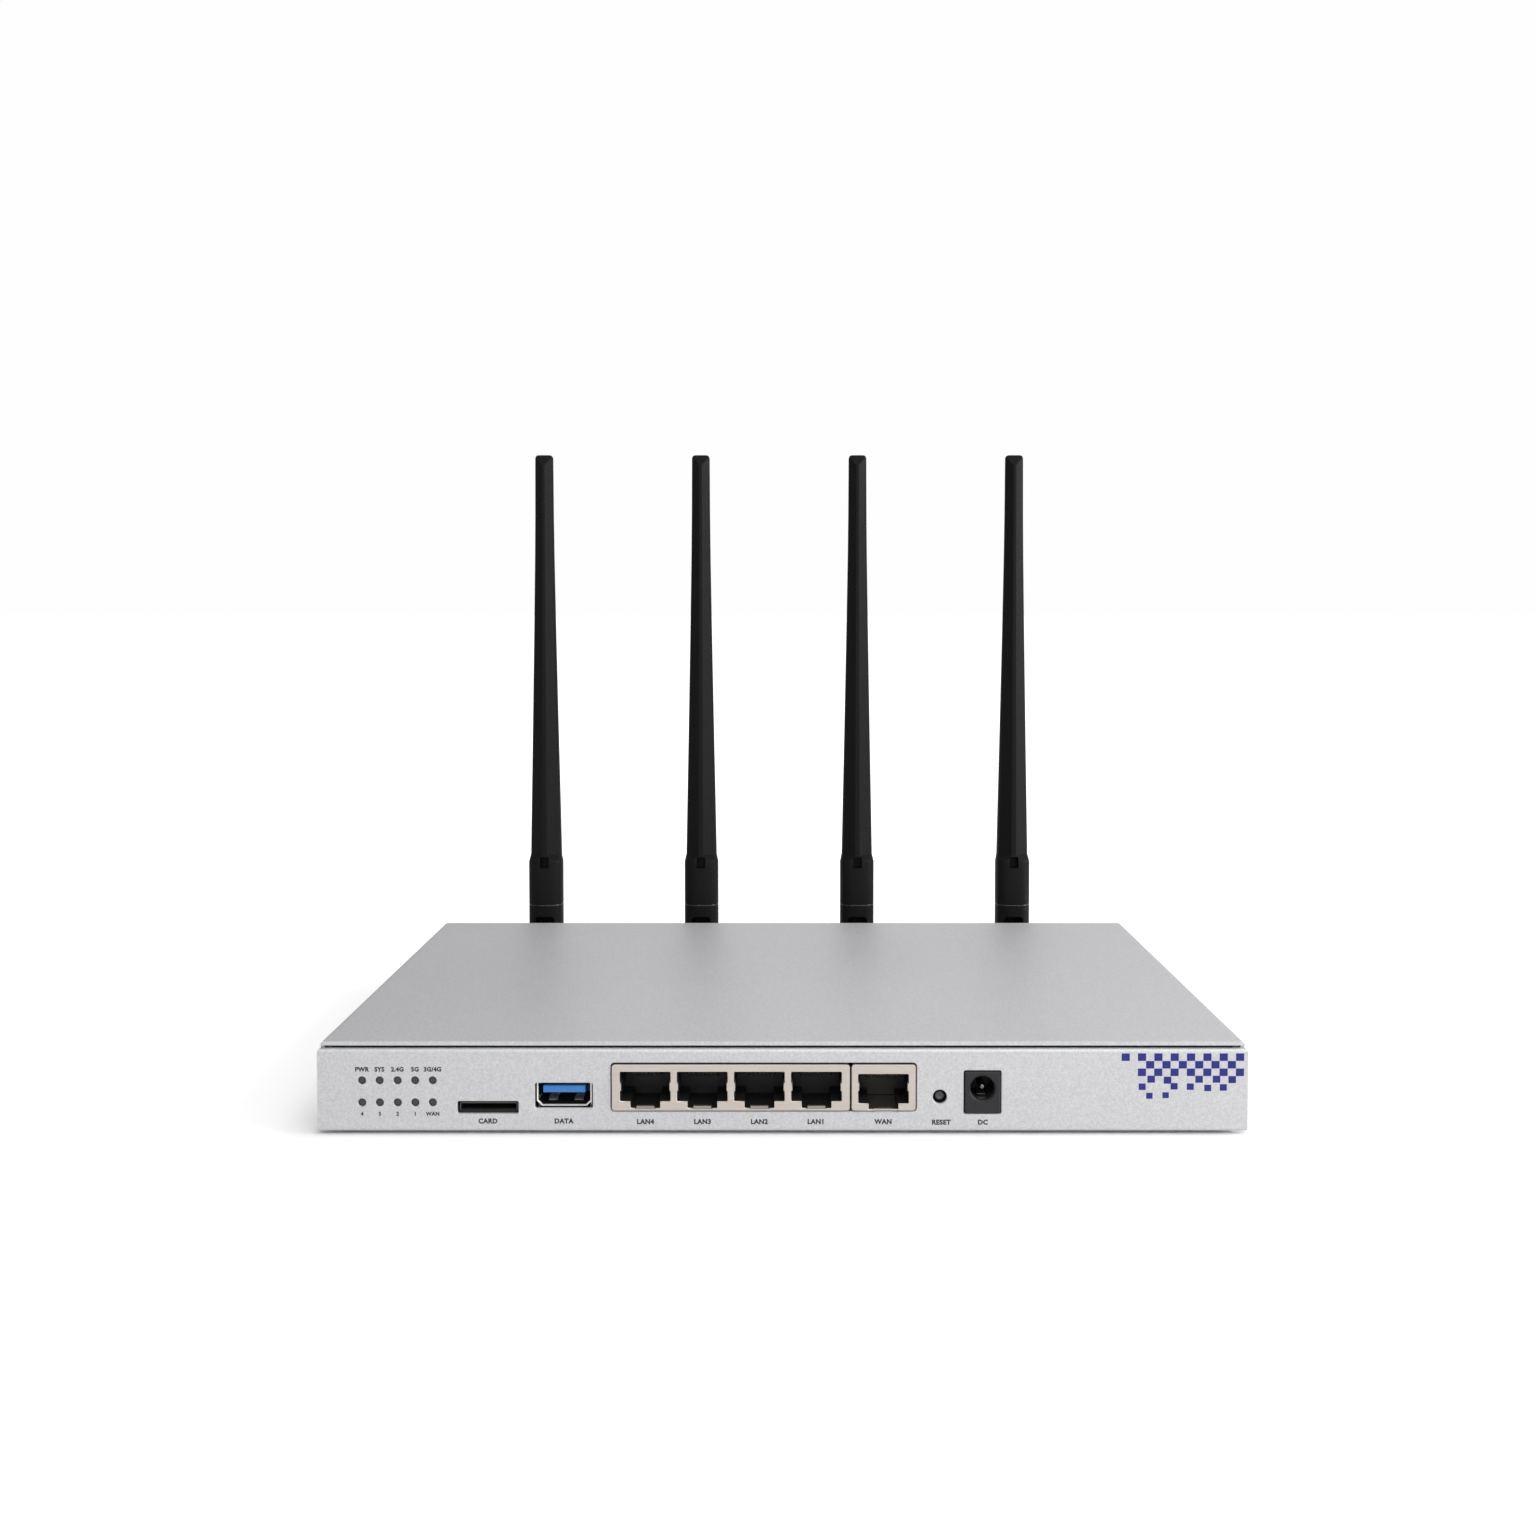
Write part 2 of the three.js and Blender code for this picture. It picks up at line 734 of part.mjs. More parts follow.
const wanCentres = [wanCentre];
add("lan_jack_shield", jackShield(lanLeft, lanRight, portCentres, lanShoulder), "nickel");
add("lan_jack_insert", jackInsert(lanLeft, lanRight, portCentres, lanShoulder), "darkPlastic");
add("wan_jack_shield", jackShield(wanLeft, wanRight, wanCentres, wanShoulder), "nickel");
add("wan_jack_insert", jackInsert(wanLeft, wanRight, wanCentres, wanShoulder), "darkPlastic");
add("usb_socket_shell", usbShell(), "nickel");
add("usb_socket_tongue", usbTongue(), "bluePlastic");
add("card_socket_shell", cardShell(), "nickel");
add("card_socket_tray", cardTray(), "darkPlastic");
add("dc_jack_body", dcBody(), "darkPlastic");
add("dc_jack_pin", rod("y", 1, frontY + 0.9, frontY + 13.2, dcCentre, underside + dcBarrelZ, 16), "nickel");

const switchBody = block(
  resetX - 3,
  resetX + 3,
  frontY + 2.8,
  frontY + 7,
  boardZ + hairline,
  underside + 11.4,
);
const plungerBore = rod("y", plungerRadius + fit, frontY + 2, frontY + 5.6, resetX, underside + resetZ, 20);
const plunger = rod("y", plungerRadius, frontY + 1.2, frontY + 5, resetX, underside + resetZ, 20);
add("reset_switch_body", switchBody.subtract(plungerBore), "darkPlastic");
add("reset_plunger", plunger, "blackPlastic");
add("status_light_pipes", lightPipes(), "smokedClear");

// The larger parts on the board, each standing on its own rectangle.
const onBoard = ([x, fromFront], width, depth, height) => {
  const y = boardFront + fromFront;
  const foot = boardZ + hairline;
  return block(x - width / 2, x + width / 2, y - depth / 2, y + depth / 2, foot, foot + height);
};
const chipHeight = 1.3;
const sinkZ = boardZ + 2 * hairline + chipHeight;
add("processor_chip", onBoard(processorSpot, 14, 14, chipHeight), "chipBlack");
add("processor_heatsink", heatsink(processorSpot[0], boardFront + processorSpot[1], sinkZ), "aluminium");
add("radio_shield_can", onBoard(radioSpot, 38, 32, 3.35), "nickel");
add("lan_magnetics", onBoard(magneticsSpot, 36, 10, 4.95), "chipBlack");

antennaXs.forEach((x, i) => {
  const n = i + 1;
  add("antenna_jack_" + n, antennaJack(x), "brass");
  add("antenna_jack_nut_" + n, jackNut(x), "brass");
  add("antenna_coupling_nut_" + n, couplingNut(x), "blackPlastic");
  add("antenna_knuckle_" + n, knuckle(x), "blackPlastic");
  add("antenna_fork_" + n, fork(x), "blackPlastic");
  add("antenna_blade_" + n, blade(x), "blackPlastic");
  add("coax_pigtail_" + n, pigtail(i, x), "cableBlack");
});

export default group;
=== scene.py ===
import json
import math
import random
import bmesh
import bpy
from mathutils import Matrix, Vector


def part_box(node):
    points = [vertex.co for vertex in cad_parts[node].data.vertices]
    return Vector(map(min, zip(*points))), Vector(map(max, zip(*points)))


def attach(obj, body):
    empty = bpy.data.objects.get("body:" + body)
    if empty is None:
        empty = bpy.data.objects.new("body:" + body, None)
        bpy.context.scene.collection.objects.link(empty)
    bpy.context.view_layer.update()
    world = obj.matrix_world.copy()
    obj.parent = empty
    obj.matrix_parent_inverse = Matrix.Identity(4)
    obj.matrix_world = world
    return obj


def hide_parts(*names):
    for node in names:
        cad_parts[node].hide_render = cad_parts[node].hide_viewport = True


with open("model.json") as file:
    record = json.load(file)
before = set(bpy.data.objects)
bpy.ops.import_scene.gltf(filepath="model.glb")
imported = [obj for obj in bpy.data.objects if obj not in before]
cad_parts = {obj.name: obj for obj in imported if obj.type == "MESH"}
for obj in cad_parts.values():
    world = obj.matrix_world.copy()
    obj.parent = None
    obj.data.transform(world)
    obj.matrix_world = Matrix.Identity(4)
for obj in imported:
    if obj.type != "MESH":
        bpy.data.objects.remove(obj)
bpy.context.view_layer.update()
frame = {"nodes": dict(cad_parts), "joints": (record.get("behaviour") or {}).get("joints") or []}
scene = bpy.context.scene
mm = 0.001  # shapes below are written in millimetres and stored in metres

print("reading the frame")


def extent(node):
    low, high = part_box(node)
    return [value / mm for value in low], [value / mm for value in high]


def centreOf(node):
    return [(low + high) / 2 for low, high in zip(*extent(node))]


trayLow, trayHigh = extent("base_tray")
lidLow, lidHigh = extent("top_cover")
frontY, rearY = trayLow[1], trayHigh[1]
middleY = (frontY + rearY) / 2
underside, panelTop = trayLow[2], trayHigh[2]
lidTop = lidHigh[2]
trayHalf = trayHigh[0]
lidHalf = lidHigh[0]
sheet = 1.0
antennaNumbers = cornerNumbers = (1, 2, 3, 4)


def place(axis, at, u, v):
    if axis == "x":
        return (at, u, v)
    if axis == "y":
        return (u, at, v)
    return (u, v, at)


def circleRing(axis, at, a, b, radius, sides=32):
    turn = 2 * math.pi / sides
    return [
        place(axis, at, a + radius * math.cos(i * turn), b + radius * math.sin(i * turn))
        for i in range(sides)
    ]


# A rectangle with rounded corners; radii run lower left, lower right, upper right, upper left.
def roundRing(axis, at, u0, u1, v0, v1, radii, steps=5):
    if not isinstance(radii, (list, tuple)):
        radii = [radii] * 4
    corners = [
        (u0 + radii[0], v0 + radii[0], radii[0], 180),
        (u1 - radii[1], v0 + radii[1], radii[1], 270),
        (u1 - radii[2], v1 - radii[2], radii[2], 0),
        (u0 + radii[3], v1 - radii[3], radii[3], 90),
    ]
    ring = []
    for cu, cv, radius, start in corners:
        for i in range(steps + 1):
            angle = math.radians(start + 90 * i / steps)
            ring.append(place(axis, at, cu + radius * math.cos(angle), cv + radius * math.sin(angle)))
    return ring


def skin(bm, rings, closed=False, slot=0):
    loops = [[bm.verts.new(Vector(point) * mm) for point in ring] for ring in rings]
    count = len(loops[0])
    pairs = list(zip(loops, loops[1:]))
    if closed:
        pairs.append((loops[-1], loops[0]))
    faces = []
    for low, high in pairs:
        for i in range(count):
            j = (i + 1) % count
            faces.append(bm.faces.new((low[i], low[j], high[j], high[i])))
    if not closed:
        faces.append(bm.faces.new(list(reversed(loops[0]))))
        faces.append(bm.faces.new(loops[-1]))
    for face in faces:
        face.material_index = slot
    bmesh.ops.recalc_face_normals(bm, faces=faces)
    return faces


def block(bm, x0, x1, y0, y1, z0, z1, slot=0):
    corners = [(x0, y0), (x1, y0), (x1, y1), (x0, y1)]
    skin(bm, [[(x, y, z) for x, y in corners] for z in (z0, z1)], slot=slot)


def boxOf(node):
    bm = bmesh.new()
    block(bm, *(value for pair in zip(*extent(node)) for value in pair))
    return bm


# A strip of rectangular section between x0 and x1 that follows (y, z) points.
def strip(bm, x0, x1, route, thick, slot=0):
    skin(bm, [[(x0, y, z), (x1, y, z), (x1, y, z + thick), (x0, y, z + thick)] for y, z in route], slot=slot)


def turned(bm, axis, a, b, profile, sides=32, closed=False, slot=0):
    skin(bm, [circleRing(axis, at, a, b, radius, sides) for at, radius in profile], closed, slot)


def makeObject(name, bm, finishNames, soften=0.0, segments=2):
    mesh = bpy.data.meshes.new(name)
    bm.to_mesh(mesh)
    bm.free()
    obj = bpy.data.objects.new(name, mesh)
    scene.collection.objects.link(obj)
    for finish in finishNames:
        mesh.materials.append(finishes[finish])
    if soften:
        addBevel(obj, soften, segments)
    return obj


# A finished piece is reopened to add loose shells that need no boolean, then stored.
def reopen(obj):
    bm = bmesh.new()
    bm.from_mesh(obj.data)
    return bm


def store(obj, bm):
    bm.to_mesh(obj.data)
    bm.free()


def addBevel(obj, width, segments=2, limit=35):
    bevel = obj.modifiers.new("softEdges", "BEVEL")
    bevel.width = width * mm
    bevel.segments = segments
    bevel.limit_method = "ANGLE"
    bevel.angle_limit = math.radians(limit)
    bevel.use_clamp_overlap = True


def applyModifiers(obj):
    depsgraph = bpy.context.evaluated_depsgraph_get()
    shaped = bpy.data.meshes.new_from_object(obj.evaluated_get(depsgraph))
    old = obj.data
    obj.modifiers.clear()
    obj.data = shaped
    bpy.data.meshes.remove(old)


def combine(obj, bm, operation):
    mesh = bpy.data.meshes.new("cutter")
    bm.to_mesh(mesh)
    bm.free()
    cutter = bpy.data.objects.new("cutter", mesh)
    scene.collection.objects.link(cutter)
    modifier = obj.modifiers.new("combine", "BOOLEAN")
    modifier.operation = operation
    modifier.solver = "EXACT"
    modifier.object = cutter
    applyModifiers(obj)
    bpy.data.objects.remove(cutter)
    bpy.data.meshes.remove(mesh)


def carve(obj, bm):
    combine(obj, bm, "DIFFERENCE")


def drill(obj, axis, a, b, profile, sides):
    bore = bmesh.new()
    turned(bore, axis, a, b, profile, sides)
    carve(obj, bore)


def smooth(obj, angle, weighted):
    obj.data.shade_smooth()
    obj.data.set_sharp_from_angle(angle=math.radians(angle))
    if weighted:
        modifier = obj.modifiers.new("flatNormals", "WEIGHTED_NORMAL")
        modifier.keep_sharp = True
        modifier.weight = 80


# A cutter through one sheet with a small flare at its outer face, so that the hole has a soft edge.
# ringAt(at, grow) draws the hole's outline; outer is the outer face, inward is +1 or -1.
def holeCutter(bm, ringAt, outer, inward, depth=2.0, flare=0.12):
    skin(bm, [
        ringAt(outer - inward * 0.4, flare + 0.4),
        ringAt(outer + inward * flare, 0),
        ringAt(outer + inward * depth, 0),
    ])


def slotRing(axis, u0, u1, v0, v1, radius, steps=4):
    radii = radius if isinstance(radius, tuple) else (radius,) * 4

    def ringAt(at, grow):
        grown = [value + grow for value in radii]
        return roundRing(axis, at, u0 - grow, u1 + grow, v0 - grow, v1 + grow, grown, steps)
    return ringAt


def roundHole(axis, a, b, radius, sides=32):
    def ringAt(at, grow):
        return circleRing(axis, at, a, b, radius + grow, sides)
    return ringAt


def finishPiece(obj, slotName, *nodes, body="housing", angle=32, weighted=True):
    if angle:
        smooth(obj, angle, weighted)
    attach(obj, body)
    if nodes:
        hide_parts(*nodes)


print("making materials")


def newGroup(name, inputs, outputs):
    tree = bpy.data.node_groups.new(name, "ShaderNodeTree")
    for label, value in inputs.items():
        socket = tree.interface.new_socket(name=label, in_out="INPUT", socket_type="NodeSocketFloat")
        socket.default_value = value
    for label in outputs:
        tree.interface.new_socket(name=label, in_out="OUTPUT", socket_type="NodeSocketFloat")
    return tree, tree.nodes.new("NodeGroupInput").outputs, tree.nodes.new("NodeGroupOutput")


# Fills a node's inputs from numbers, colours and other nodes' outputs.
def feed(tree, node, feeds):
    for label, value in feeds.items():
        if isinstance(value, bpy.types.NodeSocket):
            tree.links.new(value, node.inputs[label])
        else:
            node.inputs[label].default_value = value


def addNode(tree, kind, feeds, **settings):
    node = tree.nodes.new("ShaderNode" + kind)
    for label, value in settings.items():
        setattr(node, label, value)
    feed(tree, node, feeds)
    return node


def addMath(tree, operation, first, second=0):
    return addNode(tree, "Math", {0: first, 1: second}, operation=operation).outputs[0]


def objectPoint(tree):
    return addNode(tree, "TexCoord", {}).outputs["Object"]


# Fine speckle plus slow drift, as in sprayed metallic paint; the speckle also gives a height.
def buildPaintGrain():
    tree, source, sink = newGroup(
        "sprayGrain", {"Speckle Scale": 2600, "Drift Scale": 14, "Speckle": 0.05, "Drift": 0.03},
        ["Tone", "Height"])
    point = objectPoint(tree)
    tone = 0.5
    for label, detail in (("Drift", 2), ("Speckle", 3)):
        feeds = {"Vector": point, "Scale": source[label + " Scale"], "Detail": detail}
        noise = addNode(tree, "TexNoise", feeds).outputs["Fac"]
        swing = addMath(tree, "MULTIPLY", addMath(tree, "SUBTRACT", noise, 0.5), source[label])
        tone = addMath(tree, "ADD", swing, tone)
    feed(tree, sink, {"Tone": tone, "Height": noise})
    return tree


# Spark-eroded mould texture: small rounded pits, with a slow cloud in the tone.
def buildMouldGrain():
    tree, source, sink = newGroup("mouldGrain", {"Scale": 2200, "Depth": 1.0}, ["Tone", "Height"])
    point = objectPoint(tree)
    pits = addNode(tree, "TexVoronoi", {}, feature="SMOOTH_F1")
    feed(tree, pits, {"Vector": point, "Scale": source["Scale"]})
    cloud = addNode(tree, "TexNoise", {"Vector": point, "Scale": 160, "Detail": 4})
    height = addMath(tree, "MULTIPLY", pits.outputs["Distance"], source["Depth"])
    feed(tree, sink, {"Tone": cloud.outputs["Fac"], "Height": height})
    return tree


# Long fine scratches along X, as on drawn or tumbled metal.
def buildDrawnLines():
    tree, source, sink = newGroup("drawnLines", {"Across": 900, "Along": 20}, ["Tone", "Height"])
    stretch = addNode(tree, "CombineXYZ", {"X": source["Along"], "Y": source["Across"], "Z": source["Across"]})
    scaled = addNode(
        tree, "VectorMath", {0: objectPoint(tree), 1: stretch.outputs["Vector"]}, operation="MULTIPLY")
    lines = addNode(tree, "TexNoise", {"Vector": scaled.outputs["Vector"], "Scale": 1, "Detail": 3}).outputs["Fac"]
    feed(tree, sink, {"Tone": lines, "Height": lines})
    return tree


edgeDetail = {"radius": 0.25, "patches": 260, "amount": 0.3, "sharpness": 5.0, "lighter": 1.25}


# Handled edges: finds sharp corners from the rounded normal and breaks them up with noise.
def buildEdgeWear():
    inputs = {"Radius": edgeDetail["radius"] * mm, "Patches": edgeDetail["patches"], "Amount": 0.5}
    tree, source, sink = newGroup("edgeWear", inputs, ["Mask"])
    rounded = addNode(tree, "Bevel", {"Radius": source["Radius"]}, samples=4)
    surface = addNode(tree, "NewGeometry", {})
    meet = addNode(
        tree, "VectorMath", {0: rounded.outputs["Normal"], 1: surface.outputs["Normal"]}, operation="DOT_PRODUCT")
    turn = addMath(tree, "SUBTRACT", 1.0, meet.outputs["Value"])
    patches = addNode(
        tree, "TexNoise", {"Vector": objectPoint(tree), "Scale": source["Patches"], "Detail": 3}).outputs["Fac"]
    mask = addMath(tree, "MULTIPLY", turn, edgeDetail["sharpness"])
    for operation, factor in (
            ("MULTIPLY", patches), ("MULTIPLY", source["Amount"]), ("MINIMUM", 1.0), ("MAXIMUM", 0.0)):
        mask = addMath(tree, operation, mask, factor)
    feed(tree, sink, {"Mask": mask})
    return tree


sprayGrain = buildPaintGrain()
edgeWear = buildEdgeWear()
mouldGrain = buildMouldGrain()
drawnLines = buildDrawnLines()


def linear(red, green, blue):
    def one(value):
        value /= 255
        return value / 12.92 if value <= 0.04045 else ((value + 0.055) / 1.055) ** 2.4
    return (one(red), one(green), one(blue), 1)


def scaledColour(colour, factor):
    return (colour[0] * factor, colour[1] * factor, colour[2] * factor, 1)


finishes = {}


# A Principled surface whose colour, roughness and bump follow one of the groups above.
def makeFinish(name, rgb, group, values, contrast, roughness, roughSwing, bump, bumpDepth,
               metallic=0.0, specular=0.5):
    material = bpy.data.materials.new(name)
    material.use_nodes = True
    tree = material.node_tree
    colour = linear(*rgb)
    texture = addNode(tree, "Group", values, node_tree=group).outputs
    ramp = addNode(tree, "ValToRGB", {"Fac": texture["Tone"]})
    for element, factor in zip(ramp.color_ramp.elements, (1 - contrast, 1 + contrast)):
        element.color = scaledColour(colour, factor)
    wear = {"Radius": edgeDetail["radius"] * mm, "Amount": edgeDetail["amount"]}
    edges = addNode(tree, "Group", wear, node_tree=edgeWear)
    rubbed = addNode(tree, "Mix", {}, data_type="RGBA")
    feed(tree, rubbed, {
        "Factor": edges.outputs["Mask"], "A": ramp.outputs["Color"],
        "B": scaledColour(colour, edgeDetail["lighter"])})
    swing = addNode(tree, "MapRange", {
        "Value": texture["Tone"], "To Min": roughness - roughSwing, "To Max": roughness + roughSwing})
    relief = addNode(tree, "Bump", {"Strength": bump, "Distance": bumpDepth * mm, "Height": texture["Height"]})
    feed(tree, tree.nodes["Principled BSDF"], {
        "Metallic": metallic, "Specular IOR Level": specular, "Base Color": rubbed.outputs["Result"],
        "Roughness": swing.outputs["Result"], "Normal": relief.outputs["Normal"]})
    finishes[name] = material


makeFinish(
    "silverPaint", (197, 197, 199), sprayGrain,
    {"Speckle Scale": 2100, "Drift Scale": 9, "Speckle": 2.4, "Drift": 0.4},
    contrast=0.12, roughness=0.46, roughSwing=0.06, bump=0.25, bumpDepth=0.02, metallic=0.35)

# Plastic, rubber and ink: colour, grain scale and depth, contrast, roughness and its swing, bump and its depth,
# specular.
mouldedFinishes = {
    "antennaBlack": ((17, 17, 18), 2600, 1.0, 0.25, 0.5, 0.08, 0.35, 0.04, 0.12),
    # Painted highlight, partly: a glossy black lighter than the blade's, for the seam ring at each antenna's
    # parting line.
    "seamHighlightBlack": ((40, 40, 41), 1200, 0.3, 0.15, 0.2, 0.04, 0.05, 0.01, 0.6),
    "socketBlack": ((26, 26, 27), 3200, 0.8, 0.2, 0.45, 0.08, 0.2, 0.02, 0.35),
    "powerBlack": ((33, 33, 35), 2400, 0.8, 0.15, 0.5, 0.06, 0.2, 0.02, 0.35),
    "footRubber": ((26, 26, 27), 1500, 1.0, 0.3, 0.82, 0.08, 0.4, 0.05, 0.2),
    "tongueBlue": ((56, 118, 186), 1800, 0.5, 0.08, 0.38, 0.05, 0.08, 0.01, 0.45),
    "smokedLens": ((66, 65, 68), 900, 0.4, 0.12, 0.5, 0.05, 0.05, 0.01, 0.25),
    "plungerGrey": ((74, 74, 77), 2400, 0.5, 0.12, 0.4, 0.05, 0.1, 0.01, 0.45),
    "chipResin": ((38, 39, 41), 3600, 1.0, 0.2, 0.6, 0.08, 0.3, 0.02, 0.35),
    "cableJacket": ((30, 30, 31), 1400, 0.6, 0.2, 0.45, 0.08, 0.15, 0.02, 0.4),
    "legendInk": ((58, 59, 64), 2600, 0.5, 0.15, 0.6, 0.05, 0.1, 0.005, 0.2),
    "patternInk": ((38, 40, 120), 2200, 0.5, 0.14, 0.5, 0.05, 0.1, 0.005, 0.3),
    "solderMask": ((28, 92, 58), 900, 0.4, 0.12, 0.38, 0.05, 0.06, 0.01, 0.5),
}
# Metal: colour, lines across and along, contrast, roughness and its swing, bump and its depth, metallic.
metalFinishes = {
    "nickel": ((203, 194, 186), 1400, 60, 0.10, 0.32, 0.08, 0.08, 0.01, 1.0),
    # Painted highlight: a lighter copy of nickel for the USB shell, so that its recessed rim reads as bright.
    "highlightNickel": ((244, 240, 234), 1400, 60, 0.05, 0.35, 0.08, 0.08, 0.01, 0.85),
    "shadowTin": ((34, 32, 31), 1400, 60, 0.15, 0.55, 0.08, 0.1, 0.01, 0.8),
    # Painted shade: nickel darkened for the pin deep in the power jack's barrel.
    "shadedPin": ((112, 109, 106), 1400, 60, 0.1, 0.22, 0.05, 0.08, 0.01, 1.0),
    # Painted shade: a darkened tin for the card socket cover and the power jack's contact, which sit back in shade;
    # the chip terminals use it too.
    "shadedDullTin": ((104, 98, 92), 1400, 60, 0.12, 0.5, 0.08, 0.1, 0.01, 0.9),
    "screwSteel": ((176, 176, 179), 1200, 900, 0.12, 0.3, 0.1, 0.12, 0.01, 1.0),
    "goldPlate": ((214, 178, 96), 1600, 1200, 0.12, 0.26, 0.08, 0.1, 0.01, 1.0),
    "sawnAluminium": ((188, 190, 193), 1800, 40, 0.12, 0.4, 0.1, 0.2, 0.02, 1.0),
}
for name, (rgb, scale, depth, *surface, specular) in mouldedFinishes.items():
    makeFinish(name, rgb, mouldGrain, {"Scale": scale, "Depth": depth}, *surface, specular=specular)
for name, (rgb, across, along, *surface, metallic) in metalFinishes.items():
    makeFinish(name, rgb, drawnLines, {"Across": across, "Along": along}, *surface, metallic=metallic)


# Faint copper tracks under the green solder mask.
def addBoardTracks():
    tree = finishes["solderMask"].node_tree
    surface = tree.nodes["Principled BSDF"]
    tracks = addNode(tree, "TexBrick", {
        "Scale": 90, "Mortar Size": 0.035, "Color1": (1, 1, 1, 1), "Color2": (0.86, 0.9, 0.86, 1),
        "Mortar": (1.5, 1.6, 1.2, 1), "Vector": objectPoint(tree)})
    mix = addNode(tree, "Mix", {}, data_type="RGBA", blend_type="MULTIPLY")
    feed(tree, mix, {
        "Factor": 1, "A": surface.inputs["Base Color"].links[0].from_socket, "B": tracks.outputs["Color"]})
    tree.links.new(mix.outputs["Result"], surface.inputs["Base Color"])


addBoardTracks()


def recolour(node, finish):
    data = frame["nodes"][node].data
    data.materials.clear()
    data.materials.append(finishes[finish])


print("folding the case")

caseDetail = {
    "lidBend": 1.4, "trayBend": 1.0, "clearance": 1.3,
    "sideVents": 12, "ventPitch": 5.0, "ventWidth": 2.0,
    "bottomVents": 9, "bottomPitch": 8.0, "returnDepth": 7.0, "flangeHeight": 9.0,
    "edge": 0.16, "shadeStripSetback": 1.15,
}
coverScrewYs = [middleY - 42, middleY + 42]
coverScrewZ = underside + 5.5


def arcPoints(cu, cv, radius, start, end, steps):
    points = []
    for i in range(steps + 1):
        angle = math.radians(start + (end - start) * i / steps)
        points.append((cu + radius * math.cos(angle), cv + radius * math.sin(angle)))
    return points


def prism(bm, axis, outline, start, end):
    skin(bm, [[place(axis, at, u, v) for u, v in outline] for at in (start, end)])


def buildLid():
    bend = caseDetail["lidBend"]
    inner = lidHalf - sheet
    low = lidLow[2]
    outline = [(-lidHalf, low), (-inner, low)]
    outline += arcPoints(-inner + 0.4, lidTop - sheet - 0.4, 0.4, 180, 90, 4)
    outline += arcPoints(inner - 0.4, lidTop - sheet - 0.4, 0.4, 90, 0, 4)
    outline += [(inner, low), (lidHalf, low)]
    outline += arcPoints(lidHalf - bend, lidTop - bend, bend, 0, 90, 8)
    outline += arcPoints(-lidHalf + bend, lidTop - bend, bend, 90, 180, 8)
    bm = bmesh.new()
    prism(bm, "y", outline, frontY, rearY)
    lid = makeObject("lidSheet", bm, ["silverPaint"])
    clear = caseDetail["clearance"]
    trims = bmesh.new()
    block(trims, -130, 130, frontY - 3, frontY + clear, underside - 3, lidTop - sheet)
    block(trims, -130, 130, rearY - clear, rearY + 3, underside - 3, lidTop - sheet)
    carve(lid, trims)
    addBevel(lid, caseDetail["edge"], 3, 50)
    applyModifiers(lid)
    holes = bmesh.new()
    for side in (-1, 1):
        face = side * lidHalf
        for y in coverScrewYs:
            holeCutter(holes, roundHole("x", y, coverScrewZ, 1.6, 24), face, -side)
        for i in range(caseDetail["sideVents"]):
            y = middleY - 28 + i * caseDetail["ventPitch"]
            ring = slotRing("x", y, y + caseDetail["ventWidth"], underside + 9.5, underside + 16.5, 0.95)
            holeCutter(holes, ring, face, -side)
    carve(lid, holes)
    finishPiece(lid, "silver_paint", "top_cover")


# Painted shade: a dark rubber strip in the gap between the lid and each panel's return stands in for the shade
# inside that gap.
def buildGapShadeStrips():
    bm = bmesh.new()
    for edge, inward in ((frontY, 1), (rearY, -1)):
        ends = sorted((edge + inward * caseDetail["shadeStripSetback"], edge + inward * 5.5))
        block(bm, -lidHalf + 3, lidHalf - 3, *ends, panelTop + 0.02, lidTop - sheet - 0.02)
    strips = makeObject("lidGapShadeStrips", bm, ["footRubber"], soften=0.08)
    finishPiece(strips, "black_rubber")


# Cut-outs of the port panel, as (left, right, bottom, top, corner radii) from the panel's centre and underside.
panelCutouts = {
    "card": (-79.7, -64.7, 4.4, 7.5, 0.4),
    "usb": (-60.7, -46.5, 5.75, 12.05, (0.5, 0.5, 0.6, 0.6)),
    "network": (-42.1, 32.9, 5.0, 17.0, 0.9),
    "power": (44.4, 53.6, 4.4, 15.1, 0.4),
}
lightColumns = [-103.0, -98.7, -94.3, -90.0, -85.7]
lightRows = [12.65, 7.2]
resetSpot = (38.55, 8.6)
resetHole = 1.75


def trayOutline():
    r = caseDetail["trayBend"]
    deep = caseDetail["returnDepth"]
    outline = arcPoints(frontY + r, underside + r, r, 180, 270, 8)
    outline += arcPoints(rearY - r, underside + r, r, 270, 360, 8)
    outline += arcPoints(rearY - r, panelTop - r, r, 0, 90, 8)
    outline += [
        (rearY - deep, panelTop), (rearY - deep, panelTop - sheet),
        (rearY - sheet, panelTop - sheet), (rearY - sheet, underside + sheet),
        (frontY + sheet, underside + sheet), (frontY + sheet, panelTop - sheet),
        (frontY + deep, panelTop - sheet), (frontY + deep, panelTop),
    ]
    return outline + arcPoints(frontY + r, panelTop - r, r, 90, 180, 8)


